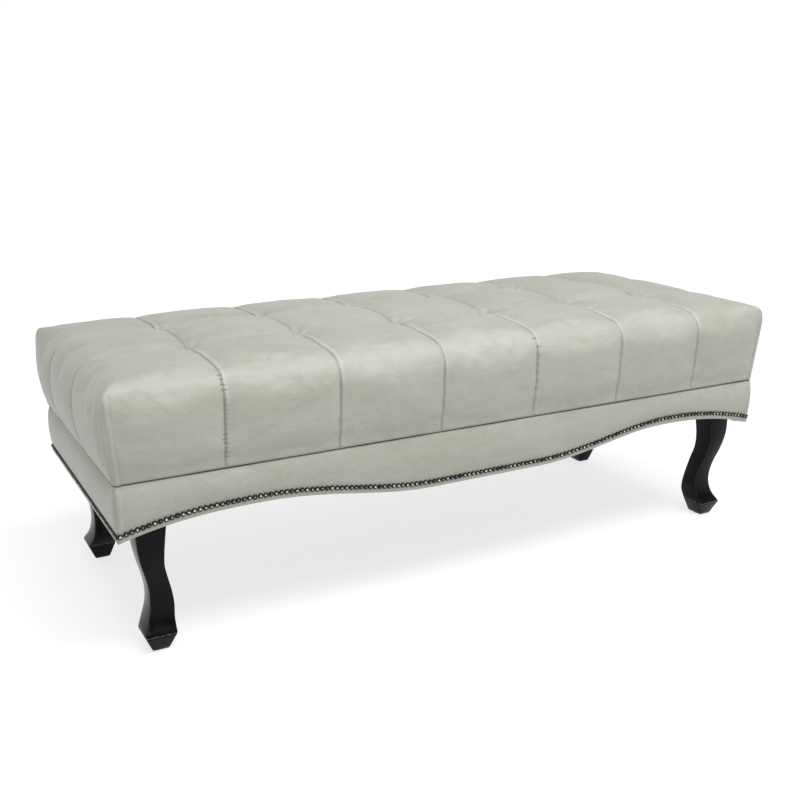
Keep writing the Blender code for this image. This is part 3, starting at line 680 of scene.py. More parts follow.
def pillow(x, y):
    """Rise of the stuffing between the seams."""
    pull_x = seam_pull(nearest(x, TUFT_XS), SEAM_REACH)
    pull_y = seam_pull(nearest(y, TUFT_YS), SEAM_REACH)
    to_end = np.clip(FLAT_X - np.abs(x), 0, None)
    to_side = np.clip(FLAT_Y - np.abs(y), 0, None)
    at_front = (1 - smoothstep(y, *FRONT_BAND)) * smoothstep(to_end, 0.0, BORDER_REACH)
    least = BORDER_SEAM_SHARE + (FRONT_SEAM_SHARE - BORDER_SEAM_SHARE) * at_front
    pull = 1 - (1 - pull_x) * (1 - pull_y)
    pull = pull * (least + (1 - least) * smoothstep(
        np.minimum(to_end, to_side), 0.0, BORDER_REACH))
    corner = np.exp(-np.hypot(to_end, to_side) / CORNER_FLAT_REACH)
    return PILLOW_RISE * (1 - pull) * (1 - CORNER_FLATNESS * corner)


def seat_swell(x, y):
    """How far the seat stands proud of its plain crown, in or out."""
    start, fading, end = COLUMN_DIP_ENDS
    tuft = seam_pull(tuft_gap(x, y), TUFT_REACH, TUFT_SOFTNESS)
    dip = bell(nearest(x, TUFT_XS), COLUMN_DIP_WIDTH) * smoothstep(
        np.abs(y), TUFT_ROW_OFFSET, start) * (1 - smoothstep(np.abs(y), fading, end))
    return pillow(x, y) - TUFT_PULL * tuft - COLUMN_DIP * dip


def wall_share(height):
    """How far down the wall a height lies, 0 at the roll and 1 at the bottom."""
    return np.clip((WALL_TOP - height) / (WALL_TOP - CUSHION_BOTTOM), 0, 1)


def cushion_levels():
    """Rings below the seat: turn of the roll or None, outset, height, plan radius,
    share of swell, and whether the ring is held in the cloth run."""
    levels = []
    for step in range(1, ROLL_STEPS + 1):
        angle = math.pi / 2 * (1 - step / ROLL_STEPS)
        share = 1 - math.sin(angle)
        levels.append((angle, 0.0, 0.0, PLAN_CORNER_RADIUS * share, share, False))
    wall_bottom = CUSHION_BOTTOM + FOOT_ROUND
    for step in range(1, WALL_STEPS + 1):
        share = step / WALL_STEPS
        belly = math.sin(math.pi * min(1.0, WALL_BELLY[0] + WALL_BELLY[1] * share))
        swell_share = WALL_BELLY_LEAST
        if share < 0.95:
            swell_share += (1 - WALL_BELLY_LEAST) * belly
        levels.append((None, None, WALL_TOP + (wall_bottom - WALL_TOP) * share,
                       PLAN_CORNER_RADIUS, swell_share, share > 0.92))
    for degrees in (30, 60, 90):
        angle = math.radians(degrees)
        levels.append((None, FOOT_OUTSET - FOOT_ROUND * (1 - math.cos(angle)),
                       CUSHION_BOTTOM + FOOT_ROUND * (1 - math.sin(angle)),
                       PLAN_CORNER_RADIUS * 0.7, 0.0, True))
    inner = -DECK_EDGE_INSET + FIT
    for outset, height in ((-LIP_START, CUSHION_BOTTOM), (-LIP_WIDTH, CUSHION_BOTTOM),
                           (-LIP_WIDTH, CUSHION_BOTTOM + LEATHER),
                           (-LIP_START, CUSHION_BOTTOM + LEATHER),
                           (inner, CUSHION_BOTTOM + LEATHER),
                           (inner, (DECK_BOTTOM + DECK_TOP) / 2), (inner, DECK_TOP + FIT),
                           (-LIP_START, DECK_TOP + FIT), (-0.030, DECK_TOP + FIT)):
        levels.append((None, outset, height, 0.001, 0.0, True))
    return levels


def round_corners(x, y, half_x, half_y, radius, on_end, on_side):
    """Points of a rectangle's outline carried onto rounded corners, with their outward ways."""
    gap = np.where(on_side, half_x - np.abs(x), half_y - np.abs(y))
    gap = np.where(on_side & on_end, 0.0, gap)
    close = gap < radius
    turn = math.pi / 4 * (1 - np.clip(gap / radius, 0, 1))
    along, across = np.sin(turn), np.cos(turn)
    side_first, corner = on_side & ~on_end, on_side & on_end
    cos_x = np.where(corner, math.sqrt(0.5), np.where(side_first, along, across))
    cos_y = np.where(corner, math.sqrt(0.5), np.where(side_first, across, along))
    new_x = np.where(close, np.sign(x) * (half_x - radius + radius * cos_x), x)
    new_y = np.where(close, np.sign(y) * (half_y - radius + radius * cos_y), y)
    out_x = np.where(close, np.sign(x) * cos_x, np.where(on_end & ~on_side, np.sign(x), 0.0))
    out_y = np.where(close, np.sign(y) * cos_y, np.where(side_first, np.sign(y), 0.0))
    return new_x, new_y, out_x, out_y


def seat_points(lines_x, lines_y, top_x, top_y):
    """The seat's grid; near a corner it reaches further out, because the roll is tighter."""
    grid_x, grid_y = np.meshgrid(top_x, top_y, indexing="ij")
    free_x = EDGE_RADIUS - edge_radius((WIDE_Y - np.abs(lines_y))[None, :],
                                       np.sign(grid_x) * HALF_LENGTH, lines_y[None, :])
    free_y = EDGE_RADIUS - edge_radius((WIDE_X - np.abs(lines_x))[:, None],
                                       lines_x[:, None], np.sign(grid_y) * HALF_DEPTH)
    grid_x = grid_x + np.sign(grid_x) * free_x * np.clip(
        (np.abs(grid_x) - LAST_TUFT_X) / (FLAT_X - LAST_TUFT_X), 0, 1)
    grid_y = grid_y + np.sign(grid_y) * free_y * np.clip(
        (np.abs(grid_y) - TUFT_ROW_OFFSET) / (FLAT_Y - TUFT_ROW_OFFSET), 0, 1)
    height = (RIM_HEIGHT + crown(grid_x, grid_y) + seat_swell(grid_x, grid_y)
              + hand_made_lift(grid_x, grid_y))
    return np.stack([grid_x, grid_y, height], axis=-1).reshape(-1, 3)


def build_cushion_cage():
    """Points, faces, pinned points and seam distances of the cushion before its cloth run.

    The seat is a grid of lines; rings go from its edge over the roll, down the wall,
    under the edge and back up round the deck to the foam's flat underside.
    """
    lines_x, lines_y = cushion_lines(TUFT_XS, WIDE_X), cushion_lines(TUFT_YS, WIDE_Y)
    count_x, count_y = len(lines_x), len(lines_y)
    top_x = squeeze(lines_x, TUFT_XS, WIDE_X, FLAT_X)
    top_y = squeeze(lines_y, TUFT_YS, WIDE_Y, FLAT_Y)
    points = [seat_points(lines_x, lines_y, top_x, top_y)]
    faces = [(k, k + count_y, k + count_y + 1, k + 1) for i in range(count_x - 1)
             for k in range(i * count_y, (i + 1) * count_y - 1)]

    border = [(i, 0) for i in range(count_x)]
    border += [(count_x - 1, j) for j in range(1, count_y)]
    border += [(i, count_y - 1) for i in range(count_x - 2, -1, -1)]
    border += [(0, j) for j in range(count_y - 2, 0, -1)]
    at_x, at_y = np.array(border).T
    ring_x, ring_y = lines_x[at_x], lines_y[at_y]
    on_end = (at_x == 0) | (at_x == count_x - 1)
    on_side = (at_y == 0) | (at_y == count_y - 1)
    edge_side = on_side & ~on_end
    ring_count = len(border)
    previous = [i * count_y + j for i, j in border]
    total = count_x * count_y

    wide_gap = np.where(on_side, WIDE_X - np.abs(ring_x), WIDE_Y - np.abs(ring_y))
    wide_gap = np.where(on_side & on_end, 0.0, wide_gap)
    radius = edge_radius(wide_gap, ring_x, ring_y)
    fullness = between_corners(ring_x, ring_y, WALL_FULLNESS)
    ring_seam = np.where(on_side, nearest(ring_x, TUFT_XS), nearest(ring_y, TUFT_YS))
    ring_welt = np.where(on_side, signed_nearest(ring_x, TUFT_XS), 1.0)
    top_seam = np.minimum(nearest(lines_x, TUFT_XS)[:, None], nearest(lines_y, TUFT_YS)[None, :])
    top_welt = np.where(np.abs(lines_y)[None, :] > TUFT_ROW_OFFSET,
                        signed_nearest(lines_x, TUFT_XS)[:, None], 1.0)
    seam_gaps, welt_gaps = [top_seam.reshape(-1)], [top_welt.reshape(-1)]
    far = np.full(ring_count, 1.0)
    pinned = set()
    for turn, outset, height, plan_radius, swell_share, fixed in cushion_levels():
        rise = 0.0
        if turn is not None:
            rise = math.sin(turn) * pillow(top_x[at_x], top_y[at_y])
            outset = CUSHION_FLARE - radius * (1 - math.cos(turn))
            height = RIM_HEIGHT - radius * (1 - math.sin(turn))
            height = height - (EDGE_RADIUS - radius) * (1 - math.sin(turn)) ** 2
        elif outset is None:
            outset = CUSHION_FLARE + (FOOT_OUTSET - CUSHION_FLARE) * wall_share(height) ** fullness
        x = squeeze(ring_x, TUFT_XS, WIDE_X, HALF_LENGTH + outset)
        y = squeeze(ring_y, TUFT_YS, WIDE_Y, HALF_DEPTH + outset)
        x, y, out_x, out_y = round_corners(x, y, HALF_LENGTH + outset, HALF_DEPTH + outset,
                                           plan_radius, on_end, on_side)
        pull = seam_pull(np.where(edge_side, nearest(x, TUFT_XS), nearest(y, TUFT_YS)),
                         SEAM_REACH * WALL_SEAM_SHARE)
        edge_gap = np.where(edge_side, HALF_LENGTH - np.abs(x), HALF_DEPTH - np.abs(y))
        corner_pull = seam_pull(np.clip(edge_gap, 0, None), WALL_CORNER_REACH)
        swell = swell_share * (WALL_SWELL * (1 - pull) * (1 - corner_pull)
                               - WALL_SEAM_DRAW * pull)
        lift = hand_made_lift(x, y) * smoothstep(np.array(height), SEAM_HEIGHT, RIM_HEIGHT)
        level = np.clip((height - CUSHION_BOTTOM) / (RIM_HEIGHT - CUSHION_BOTTOM), 0, 1)
        by_end = np.where(on_end, 1.0, np.exp(-wide_gap / 0.03)) * (x < 0)
        bulge = END_BULGE * np.sin(math.pi * level) * (1 - 0.5 * (y / WIDE_Y) ** 2) * by_end
        drift = END_SEAM_DRIFT * (1 - level) * (level < 0.999) * on_end * (x < 0) * (
            1 - (y / WIDE_Y) ** 2)
        points.append(np.stack([x + out_x * swell - bulge, y + out_y * swell + drift,
                                height + lift + rise], axis=-1))
        seam_gaps.append(far if swell_share == 0 else ring_seam)
        welt_gaps.append(far if swell_share == 0 else ring_welt)
        current = list(range(total, total + ring_count))
        for k in range(ring_count):
            after = (k + 1) % ring_count
            faces.append((previous[k], current[k], current[after], previous[after]))
        if fixed:
            pinned.update(current)
        previous = current
        total += ring_count
    marks = np.concatenate(seam_gaps), np.concatenate(welt_gaps)
    return np.concatenate(points), faces, pinned, marks


def run_cloth(obj, pinned, seam_gaps):
    """Blows the cushion up between its pinned seams, each point moving only so far."""
    start = values_of(obj.data.vertices, "co")
    group = obj.vertex_groups.new(name="held")
    group.add(sorted(pinned), 1.0, "REPLACE")
    tuft_distance = tuft_gap(start[:, 0], start[:, 1])
    on_top = start[:, 2] > CLOTH_TOP
    by_tuft = on_top & (tuft_distance < HELD_TUFT_RADIUS)
    for index in np.where((seam_gaps < 0.001) | by_tuft)[0]:
        near = math.exp(-tuft_distance[index] / TUFT_HOLD_REACH)
        group.add([int(index)], SEAM_HOLD + TUFT_HOLD * near * on_top[index], "REPLACE")
    by_corner = (HALF_LENGTH - np.abs(start[:, 0]) < CORNER_HELD_REACH) & (
        HALF_DEPTH - np.abs(start[:, 1]) < CORNER_HELD_REACH)
    group.add([int(index) for index in np.where(by_corner)[0]], CORNER_HOLD, "REPLACE")
    cloth = obj.modifiers.new("stuffing", "CLOTH")
    for key, value in CLOTH_SETTINGS.items():
        setattr(cloth.settings, key, value)
    cloth.settings.effector_weights.gravity = 0.0
    cloth.collision_settings.use_collision = False
    cloth.collision_settings.use_self_collision = False
    scene = bpy.context.scene
    for number in range(1, CLOTH_FRAMES + 1):
        scene.frame_set(number)
    evaluated = obj.evaluated_get(bpy.context.evaluated_depsgraph_get())
    step = values_of(evaluated.to_mesh().vertices, "co") - start
    evaluated.to_mesh_clear()
    obj.modifiers.clear()
    scene.frame_set(1)
    size = np.linalg.norm(step, axis=1)
    cap = CLOTH_CAP * np.tanh(size / CLOTH_CAP)
    step *= (cap / np.maximum(size, 1e-9))[:, None]
    step[sorted(pinned)] = 0.0
    set_points(obj.data, start + step)


def crease_depth(points):
    """Depth of the creases at each point of the seat."""
    depth = np.zeros(len(points))
    high, beside, wide = CREASE_RIDGE
    for (column, row), degrees, length, deep, bend in CREASES:
        way = np.array([math.cos(math.radians(degrees)), math.sin(math.radians(degrees))])
        offset = points[:, :2] - np.array([TUFT_XS[column], TUFT_YS[row]])
        share = offset @ way / length
        across = offset @ np.array([-way[1], way[0]]) - bend * length * share ** 2 * 0.5
        reach = smoothstep(share, *CREASE_ENDS[:2]) * (1 - smoothstep(share, *CREASE_ENDS[2:]))
        line = bell(across, CREASE_WIDTH) - high * bell(
            across - beside * CREASE_WIDTH, wide * CREASE_WIDTH)
        depth += deep * reach * line * (points[:, 2] > WALL_TOP)
    return depth * CREASE_STRENGTH


def tuft_folds(points):
    """Short folds that run out from each tuft, where the leather is gathered."""
    height = np.zeros(len(points))
    for column, x in enumerate(TUFT_XS):
        for row, y in enumerate(TUFT_YS):
            offset = points[:, :2] - np.array([x, y])
            angle = np.arctan2(offset[:, 1], offset[:, 0])
            phase = 1.9 * column + 2.7 * row
            wave = 0.6 * np.cos(FOLD_COUNT * angle + phase) + 0.4 * np.cos(
                (FOLD_COUNT - 2) * angle - 1.3 * phase)
            height += wave * bell(np.hypot(offset[:, 0], offset[:, 1]) - FOLD_RADIUS, FOLD_REACH)
    return FOLD_HEIGHT * height * (points[:, 2] > SEATED)


def corner_lean(height):
    return np.interp(height, [CUSHION_BOTTOM, WALL_TOP], [CORNER_LEAN, 0.0])


def gap_shade(points):
    """Painted shade in the joint under the cushion: uneven, and faint on the left end."""
    uneven = 0.72 + 0.55 * noise_at(points, 11.0, 5.0)
    return np.clip(uneven, 0.2, 1.0) * (0.35 + 0.65 * smoothstep(points[:, 0], -0.705, -0.660))


def finish_cushion_surface(mesh):
    """Sewn grooves, corner folds and creases, pressed into the finished swell."""
    points = values_of(mesh.vertices, "co")
    normals = values_of(mesh.vertex_normals, "vector")
    x, y, z = points.T
    distance, welt = (values_of(mesh.attributes[name].data, "value", 1)[:, 0]
                      for name in ("seam_gap", "welt_gap"))
    beside = 1 - smoothstep(distance, *WELT_REACH)
    push = -GROOVE_DEPTH * bell(distance, GROOVE_WIDTH)
    push += WELT_RISE * beside * bell(welt - WELT_OFFSET, WELT_WIDTH)

    up = smoothstep(z, *TOP_BAND)
    wall = (z > CUSHION_BOTTOM + 0.001) * (1 - up)
    front = np.abs(y) > HALF_DEPTH - 0.004
    lean = corner_lean(z)
    gap_x = WIDE_X - np.abs(x) - lean
    corner = np.hypot(np.clip(gap_x, 0, None), np.clip(WIDE_Y - lean - np.abs(y), 0, None))
    push -= wall * CORNER_SEAM_DEPTH * bell(
        np.clip(corner - CORNER_SEAM_HALF, 0, None), CORNER_SEAM_SOFTNESS)
    fold = smoothstep(gap_x, *FELL_EDGES) * (
        1 - smoothstep(gap_x, FELL_WIDTH + FELL_FADE[0], FELL_WIDTH + FELL_FADE[1]))
    push += wall * front * FELL_RISE * fold
    push -= wall * front * FELL_RISE * bell(
        gap_x - FELL_WIDTH - FELL_SEAM_OFFSET, FELL_GROOVE_WIDTH)

    push -= crease_depth(points)
    push += tuft_folds(points)
    push += UNEVENNESS * noise_at(points, 22.0) * (z > CUSHION_BOTTOM + 0.003)
    set_points(mesh, points + normals * push[:, None])

    tuft_distance = tuft_gap(x, y)
    pull = np.maximum(0.75 * np.exp(-distance / 0.007),
                      0.9 * np.exp(-tuft_distance / 0.016) * (z > SEATED))
    on_top = up * (1 - smoothstep(np.abs(y), HALF_DEPTH - 0.075, HALF_DEPTH - 0.020))
    # Painted shade in the seam grooves, lighter on the top, and in the dimples at the tufts
    painted_shade = (0.30 - 0.14 * on_top) * bell(distance, 0.0014)
    painted_shade += 0.40 * bell(tuft_distance, 0.0085) * (z > SEATED)
    # Painted shade along the joint at the cushion's bottom edge
    low = 1 - smoothstep(z, CUSHION_BOTTOM, CUSHION_BOTTOM + 0.0045)
    low = low * gap_shade(points)
    # Painted highlight on the raised strip beside each seam, strongest on the front roll and the
    # top, where the light falls
    strip = beside * bell(welt - 0.0044, 0.0026)
    along = smoothstep(-y, TUFT_ROW_OFFSET + 0.02, TUFT_ROW_OFFSET + 0.09) * smoothstep(
        z, RIM_HEIGHT - 0.060, RIM_HEIGHT - 0.015)
    uneven = np.clip(0.75 + 0.5 * noise_at(points, 16.0, 9.0), 0, 1)
    add_attribute(mesh, "welt_highlight", strip * np.clip(0.62 * along + 0.40 * on_top, 0, 0.7) * uneven)
    add_attribute(mesh, "pull", pull * (1 - low))
    add_attribute(mesh, "painted_shade", np.clip(painted_shade + 0.9 * low, 0, 1))


def make_cushion(material):
    points, faces, pinned, (seam_gaps, welt_gaps) = build_cushion_cage()
    cushion = add_mesh("seat_cushion", points, faces, material)
    add_attribute(cushion.data, "seam_gap", seam_gaps)
    add_attribute(cushion.data, "welt_gap", welt_gaps)
    run_cloth(cushion, pinned, seam_gaps)
    bake_modifier(cushion, "SUBSURF", levels=1, render_levels=1)
    face_outwards(cushion.data, close=True)
    finish_cushion_surface(cushion.data)
    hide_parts("seat_cover", "seat_foam")
    return cushion


# Stitches

def stitch_places(tree, rays, pitch, start):
    """Places at equal steps along the line where rays meet the leather: point, way, normal."""
    path = []
    for origin, way in rays:
        place, normal, _, _ = tree.ray_cast(Vector(origin), Vector(way))
        if place is not None:
            path.append((place, normal))
    lengths = [0.0]
    for (a, _), (b, _) in zip(path[:-1], path[1:]):
        lengths.append(lengths[-1] + (b - a).length)
    places = []
    target, index = start, 0
    while target < lengths[-1] - pitch / 2:
        while lengths[index + 1] < target:
            index += 1
        (a, normal_a), (b, normal_b) = path[index:index + 2]
        share = (target - lengths[index]) / (lengths[index + 1] - lengths[index])
        places.append((a.lerp(b, share), (b - a).normalized(),
                       normal_a.lerp(normal_b, share).normalized()))
        target += pitch
    return places


def add_stitch(points, faces, place, way, normal, length, radius,
               heights=(0.0,) * len(THREAD_SHAPE)):
    """One thread on the surface, its ends going into the leather."""
    side = way.cross(normal).normalized()
    start = len(points)
    for (along, lift, width), height in zip(THREAD_SHAPE, heights):
        middle = place + way * (along * length) + normal * (height + lift * radius)
        for k in range(THREAD_SIDES):
            angle = 2 * math.pi * k / THREAD_SIDES
            points.append(middle + (side * math.cos(angle) + normal * math.sin(angle))
                          * (radius * width))
    faces += tube_faces(start, len(THREAD_SHAPE), THREAD_SIDES)
    faces.append(tuple(range(start + THREAD_SIDES - 1, start - 1, -1)))
    faces.append(tuple(range(len(points) - THREAD_SIDES, len(points))))


def bridging_heights(tree, place, way, normal, length):
    """Height of the leather under each part of a thread; over a groove it spans straight."""
    heights = []
    for along, _, _ in THREAD_SHAPE:
        origin = place + way * (along * length) + normal * CROSS_STITCH_SEARCH
        found = tree.ray_cast(origin, -normal, 2 * CROSS_STITCH_SEARCH)[0]
        heights.append(0.0 if found is None else (found - place).dot(normal))
    first, last = heights[0], heights[-1]
    return [max(height, first + (last - first) * (along + 0.5))
            for height, (along, _, _) in zip(heights, THREAD_SHAPE)]


def side_rays(place, side, axis):
    """Rays that follow one seam from its tuft over the roll and down the wall."""
    half = HALF_DEPTH if axis == 0 else HALF_LENGTH
    last = TUFT_ROW_OFFSET if axis == 0 else LAST_TUFT_X
    rays = []

    def put(out, height, way_out, way_up):
        origin = (place, side * out, height) if axis == 0 else (side * out, place, height)
        way = (0, side * way_out, way_up) if axis == 0 else (side * way_out, 0, way_up)
        rays.append((origin, way))

    start = last + SEAM_END
    end = half - EDGE_RADIUS
    for k in range(SEAM_RAYS):
        put(start + (end - start) * k / SEAM_RAYS, 1.0, 0.0, -1.0)
    centre = WALL_TOP + ROLL_RAY_LIFT
    for k in range(ROLL_RAYS + 1):
        angle = math.pi / 2 * (1 - k / ROLL_RAYS)
        put(end + RAY_REACH * math.cos(angle), centre + RAY_REACH * math.sin(angle),
            -math.cos(angle), -math.sin(angle))
    for k in range(1, SEAM_RAYS + 1):
        height = centre + (CUSHION_BOTTOM + SEAM_END - centre) * k / SEAM_RAYS
        put(half + RAY_REACH, height, -1.0, 0.0)
    return rays


def corner_rays(side_x, side_y):
    """Rays that follow the fell seam down the wall beside one corner."""
    rays = []
    drop = CUSHION_BOTTOM + SEAM_END - RIM_HEIGHT + CORNER_SEAM_START
    for k in range(SEAM_RAYS + 1):
        height = RIM_HEIGHT - CORNER_SEAM_START + drop * k / SEAM_RAYS
        x = WIDE_X - corner_lean(height) - FELL_WIDTH - FELL_SEAM_OFFSET
        rays.append(((side_x * x, side_y * 1.0, height), (0, -side_y, 0)))
    return rays


def make_seat_stitches(tree, material):
    """Thread along every seam of the cushion, and the fell stitches by its corners."""
    routes = [side_rays(x, side, 0) for x in TUFT_XS for side in (-1, 1)]
    routes += [side_rays(y, side, 1) for y in TUFT_YS for side in (-1, 1)]
    routes += [corner_rays(side_x, side_y) for side_x in (-1, 1) for side_y in (-1, 1)]
    points, faces = [], []
    for rays in routes:
        for place, way, normal in stitch_places(tree, rays, STITCH_PITCH, STITCH_PITCH):
            add_stitch(points, faces, place, way, normal, STITCH_LENGTH, STITCH_RADIUS)
    add_mesh("seat_stitches", points, faces, material)


def make_cross_stitches(tree, material):
    """Darker thread laid across the front's first seam, and sparsely across its fourth; its dark
    colour is also painted shade for the puckers the stitches pull.
    """
    random = np.random.default_rng(5)
    points, faces = [], []
    for column, pitch, keep in CROSS_STITCHED:
        rays = side_rays(TUFT_XS[column], -1, 0)[CROSS_STITCH_FIRST_RAY:]
        for place, way, normal in stitch_places(tree, rays, pitch, pitch / 2)[:-1]:
            length = CROSS_STITCH_LENGTH * random.uniform(0.65, 1.1)
            if random.uniform() > keep:
                continue
            across = (way.cross(normal) + way * random.uniform(-0.15, 0.15)).normalized()
            middle = place - across * CROSS_STITCH_SHIFT
            add_stitch(points, faces, middle, across, normal, length, CROSS_STITCH_RADIUS,
                       bridging_heights(tree, middle, across, normal, length))
    add_mesh("seat_cross_stitches", points, faces, material)


# Apron

def lower_edge(x, arched):
    """Height of the apron's lower edge: straight, or a flat middle between two arches."""
    reach = np.abs(np.asarray(x, float))
    low = SEAM_HEIGHT - APRON_CENTRE_DROP
    crest = SEAM_HEIGHT - APRON_ARCH_DROP
    corner = SEAM_HEIGHT - APRON_CORNER_DROP
    if not arched:
        return np.full_like(reach, corner)
    share = np.clip((reach - PLATEAU_HALF_LENGTH) / (ARCH_CREST_X - PLATEAU_HALF_LENGTH), 0, 1)
    inner = low + (crest - low) * (1 - np.cos(math.pi * share)) / 2
    share = np.clip((reach - ARCH_CREST_X) / (HALF_LENGTH - ARCH_CREST_X), 0, 1)
    return np.where(reach <= ARCH_CREST_X, inner,
                    crest - (crest - corner) * share ** SHOULDER_POWER)


def hand_cut(x, arched, sign):
    """The photographed apron's left arch is cut a little flatter than its right one."""
    if not arched:
        return np.zeros_like(np.asarray(x, float))
    x = np.asarray(x, float) * sign
    return -HAND_CUT * bell(x + 0.47, 0.13) + HAND_CUT * bell(x - 0.47, 0.15)


def apron_section(edge, rail_edge):
    """One closed section of the padded apron: depth behind the face, height, padding share.

    The lip under the rail never lies higher than rail_edge, so that the rail stays covered.
    """
    top, lip = APRON_TOP, min(edge, rail_edge)
    section = [(LIP_WIDTH, top, 0.0), (LIP_BEND, top, 0.0), (0.008, top, 0.0)]
    for degrees in (90, 67, 45, 22):
        angle = math.radians(degrees)
        section.append((APRON_ROUND * (1 - math.cos(angle)),
                        top - APRON_ROUND * (1 - math.sin(angle)), 0.0))
    face_top = top - APRON_ROUND
    nail_line = edge + NAIL_LINE_OFFSET
    upper = nail_line + NAIL_BAND
    for k in range(15):
        share = k / 15
        padding = math.sin(math.pi * share ** 0.85) ** 0.75 if k else 0.0
        section.append((0.0, face_top + (upper - face_top) * share, padding))
    for height in (upper, nail_line + 0.002, nail_line - 0.002, nail_line - NAIL_BAND,
                   edge + 0.0045):
        section.append((0.0, height, 0.0))
    for degrees in (0, 30, 60, 90):
        angle = math.radians(degrees)
        section.append((APRON_LIP_ROUND * (1 - math.cos(angle)),
                        edge + APRON_LIP_ROUND * (1 - math.sin(angle)), 0.0))
    inner = WRAP - FIT
    section += [(inner, lip, 0.0), (LIP_BEND, lip, 0.0), (LIP_WIDTH, lip, 0.0),
                (LIP_WIDTH, lip + LEATHER, 0.0), (inner, lip + LEATHER, 0.0),
                (inner, (top + edge) / 2, 0.0), (inner, top - LEATHER, 0.0),
                (LIP_WIDTH, top - LEATHER, 0.0)]
    return np.array(section)


def make_apron(side, material):
    """Leather over wadding on one side of the frame, mitred to its neighbours."""
    turn, arched, half, face, sign = SIDES[side]
    mitre = MITRE_SHARE * APRON_CORNER_RADIUS
    ends = [half - END_REACH + (END_REACH - e) for e in END_LINES]
    places = [-e for e in ends]
    places += list(fill_lines([-half + END_REACH, half - END_REACH], APRON_STEP)) + ends[::-1]
    spin = np.array(Matrix.Rotation(turn, 3, "Z"))
    swell = APRON_SWELLS[side]
    columns = []
    for x in places:
        corner_x = (spin @ np.array([math.copysign(half, x), -face, 0.0]))[0]
        end_swell = LEFT_CORNER_SWELL if corner_x < 0 else RIGHT_CORNER_SWELL
        rail_edge = float(lower_edge(x, arched))
        section = apron_section(rail_edge + float(hand_cut(x, arched, sign)), rail_edge)
        depth, height, padding = section.T.copy()
        gap = half - abs(x)
        if gap < END_REACH:
            share = 1 - gap / END_REACH
            seam = np.maximum(depth, mitre - end_swell * padding) + MITRE_GAP
            out = (half - END_REACH) + share * (END_REACH - seam)
            x_line = math.copysign(1, x) * out
            nearness = half - out
            arc = np.where(nearness < APRON_CORNER_RADIUS,
                           APRON_CORNER_RADIUS - np.sqrt(np.maximum(
                               0, APRON_CORNER_RADIUS ** 2
                               - (APRON_CORNER_RADIUS - nearness) ** 2)), 0.0)
            depth = np.where(depth < arc, arc, depth)
        else:
            x_line = np.full(len(depth), x)
            nearness = np.full(len(depth), gap)
        bulge = end_swell + (swell - end_swell) * smoothstep(nearness, *SWELL_CHANGE)
        wander = 1 + (0.12 * math.sin(7.0 * x + 1.3 * turn)
                      + 0.08 * math.sin(19.0 * x)) * min(1.0, gap / 0.06)
        depth = depth - bulge * padding * wander
        if arched:
            start, full, fading, end = APRON_FELL_BAND
            fell = smoothstep(nearness, start, full) * (1 - smoothstep(nearness, fading, end))
            groove = bell(nearness - end, 0.0012)
            on_face = (padding > 0) | (section[:, 0] == 0.0)
            depth = depth - on_face * (APRON_FELL * fell - APRON_FELL * groove)
        columns.append(np.stack([x_line, depth - face, height], axis=-1))
    count = len(columns[0])
    points = np.concatenate(columns)
    faces = [(a + k, a + count + k, a + count + (k + 1) % count, a + (k + 1) % count)
             for a in range(0, (len(columns) - 1) * count, count) for k in range(count)]
    faces.append(tuple(range(count)))
    faces.append(tuple(range(len(points) - 1, len(points) - 1 - count, -1)))
    apron = add_mesh("apron_" + side, points @ spin.T, faces, material)
    face_outwards(apron.data)
    nails = nail_places(half, arched, sign)
    above = points[:, 2] - np.interp(points[:, 0], [p[0] for p in nails], [p[1] for p in nails])
    at_face = points[:, 1] < -face + 0.002
    add_attribute(apron.data, "pull", at_face * np.clip(
        0.8 * np.exp(-np.abs(above) / 0.009), 0, 1))
    # Painted shade along the joint under the cushion, and in the leather round the nail heads
    top_shade = smoothstep(points[:, 2], APRON_TOP - 0.003, APRON_TOP) * gap_shade(points @ spin.T)
    add_attribute(apron.data, "painted_shade", np.clip(
        0.9 * top_shade + at_face * 0.45 * bell(np.clip(np.abs(above) - 0.004, 0, None), 0.0016),
        0, 1))
    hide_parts("apron_cover_" + side, "apron_wadding_" + side)


def nail_places(half, arched, sign):
    """Centres of the nails along one side, at equal steps."""
    x = np.linspace(-half, half, NAIL_SAMPLES + 1)
    z = lower_edge(x, arched) + hand_cut(x, arched, sign) + NAIL_LINE_OFFSET
    lengths = np.concatenate([[0.0], np.cumsum(np.hypot(np.diff(x), np.diff(z)))])
    count = round(lengths[-1] / NAIL_PITCH)
    targets = lengths[-1] * (np.arange(count) + 0.5) / count
    return [(float(np.interp(t, lengths, x)), float(np.interp(t, lengths, z))) for t in targets]


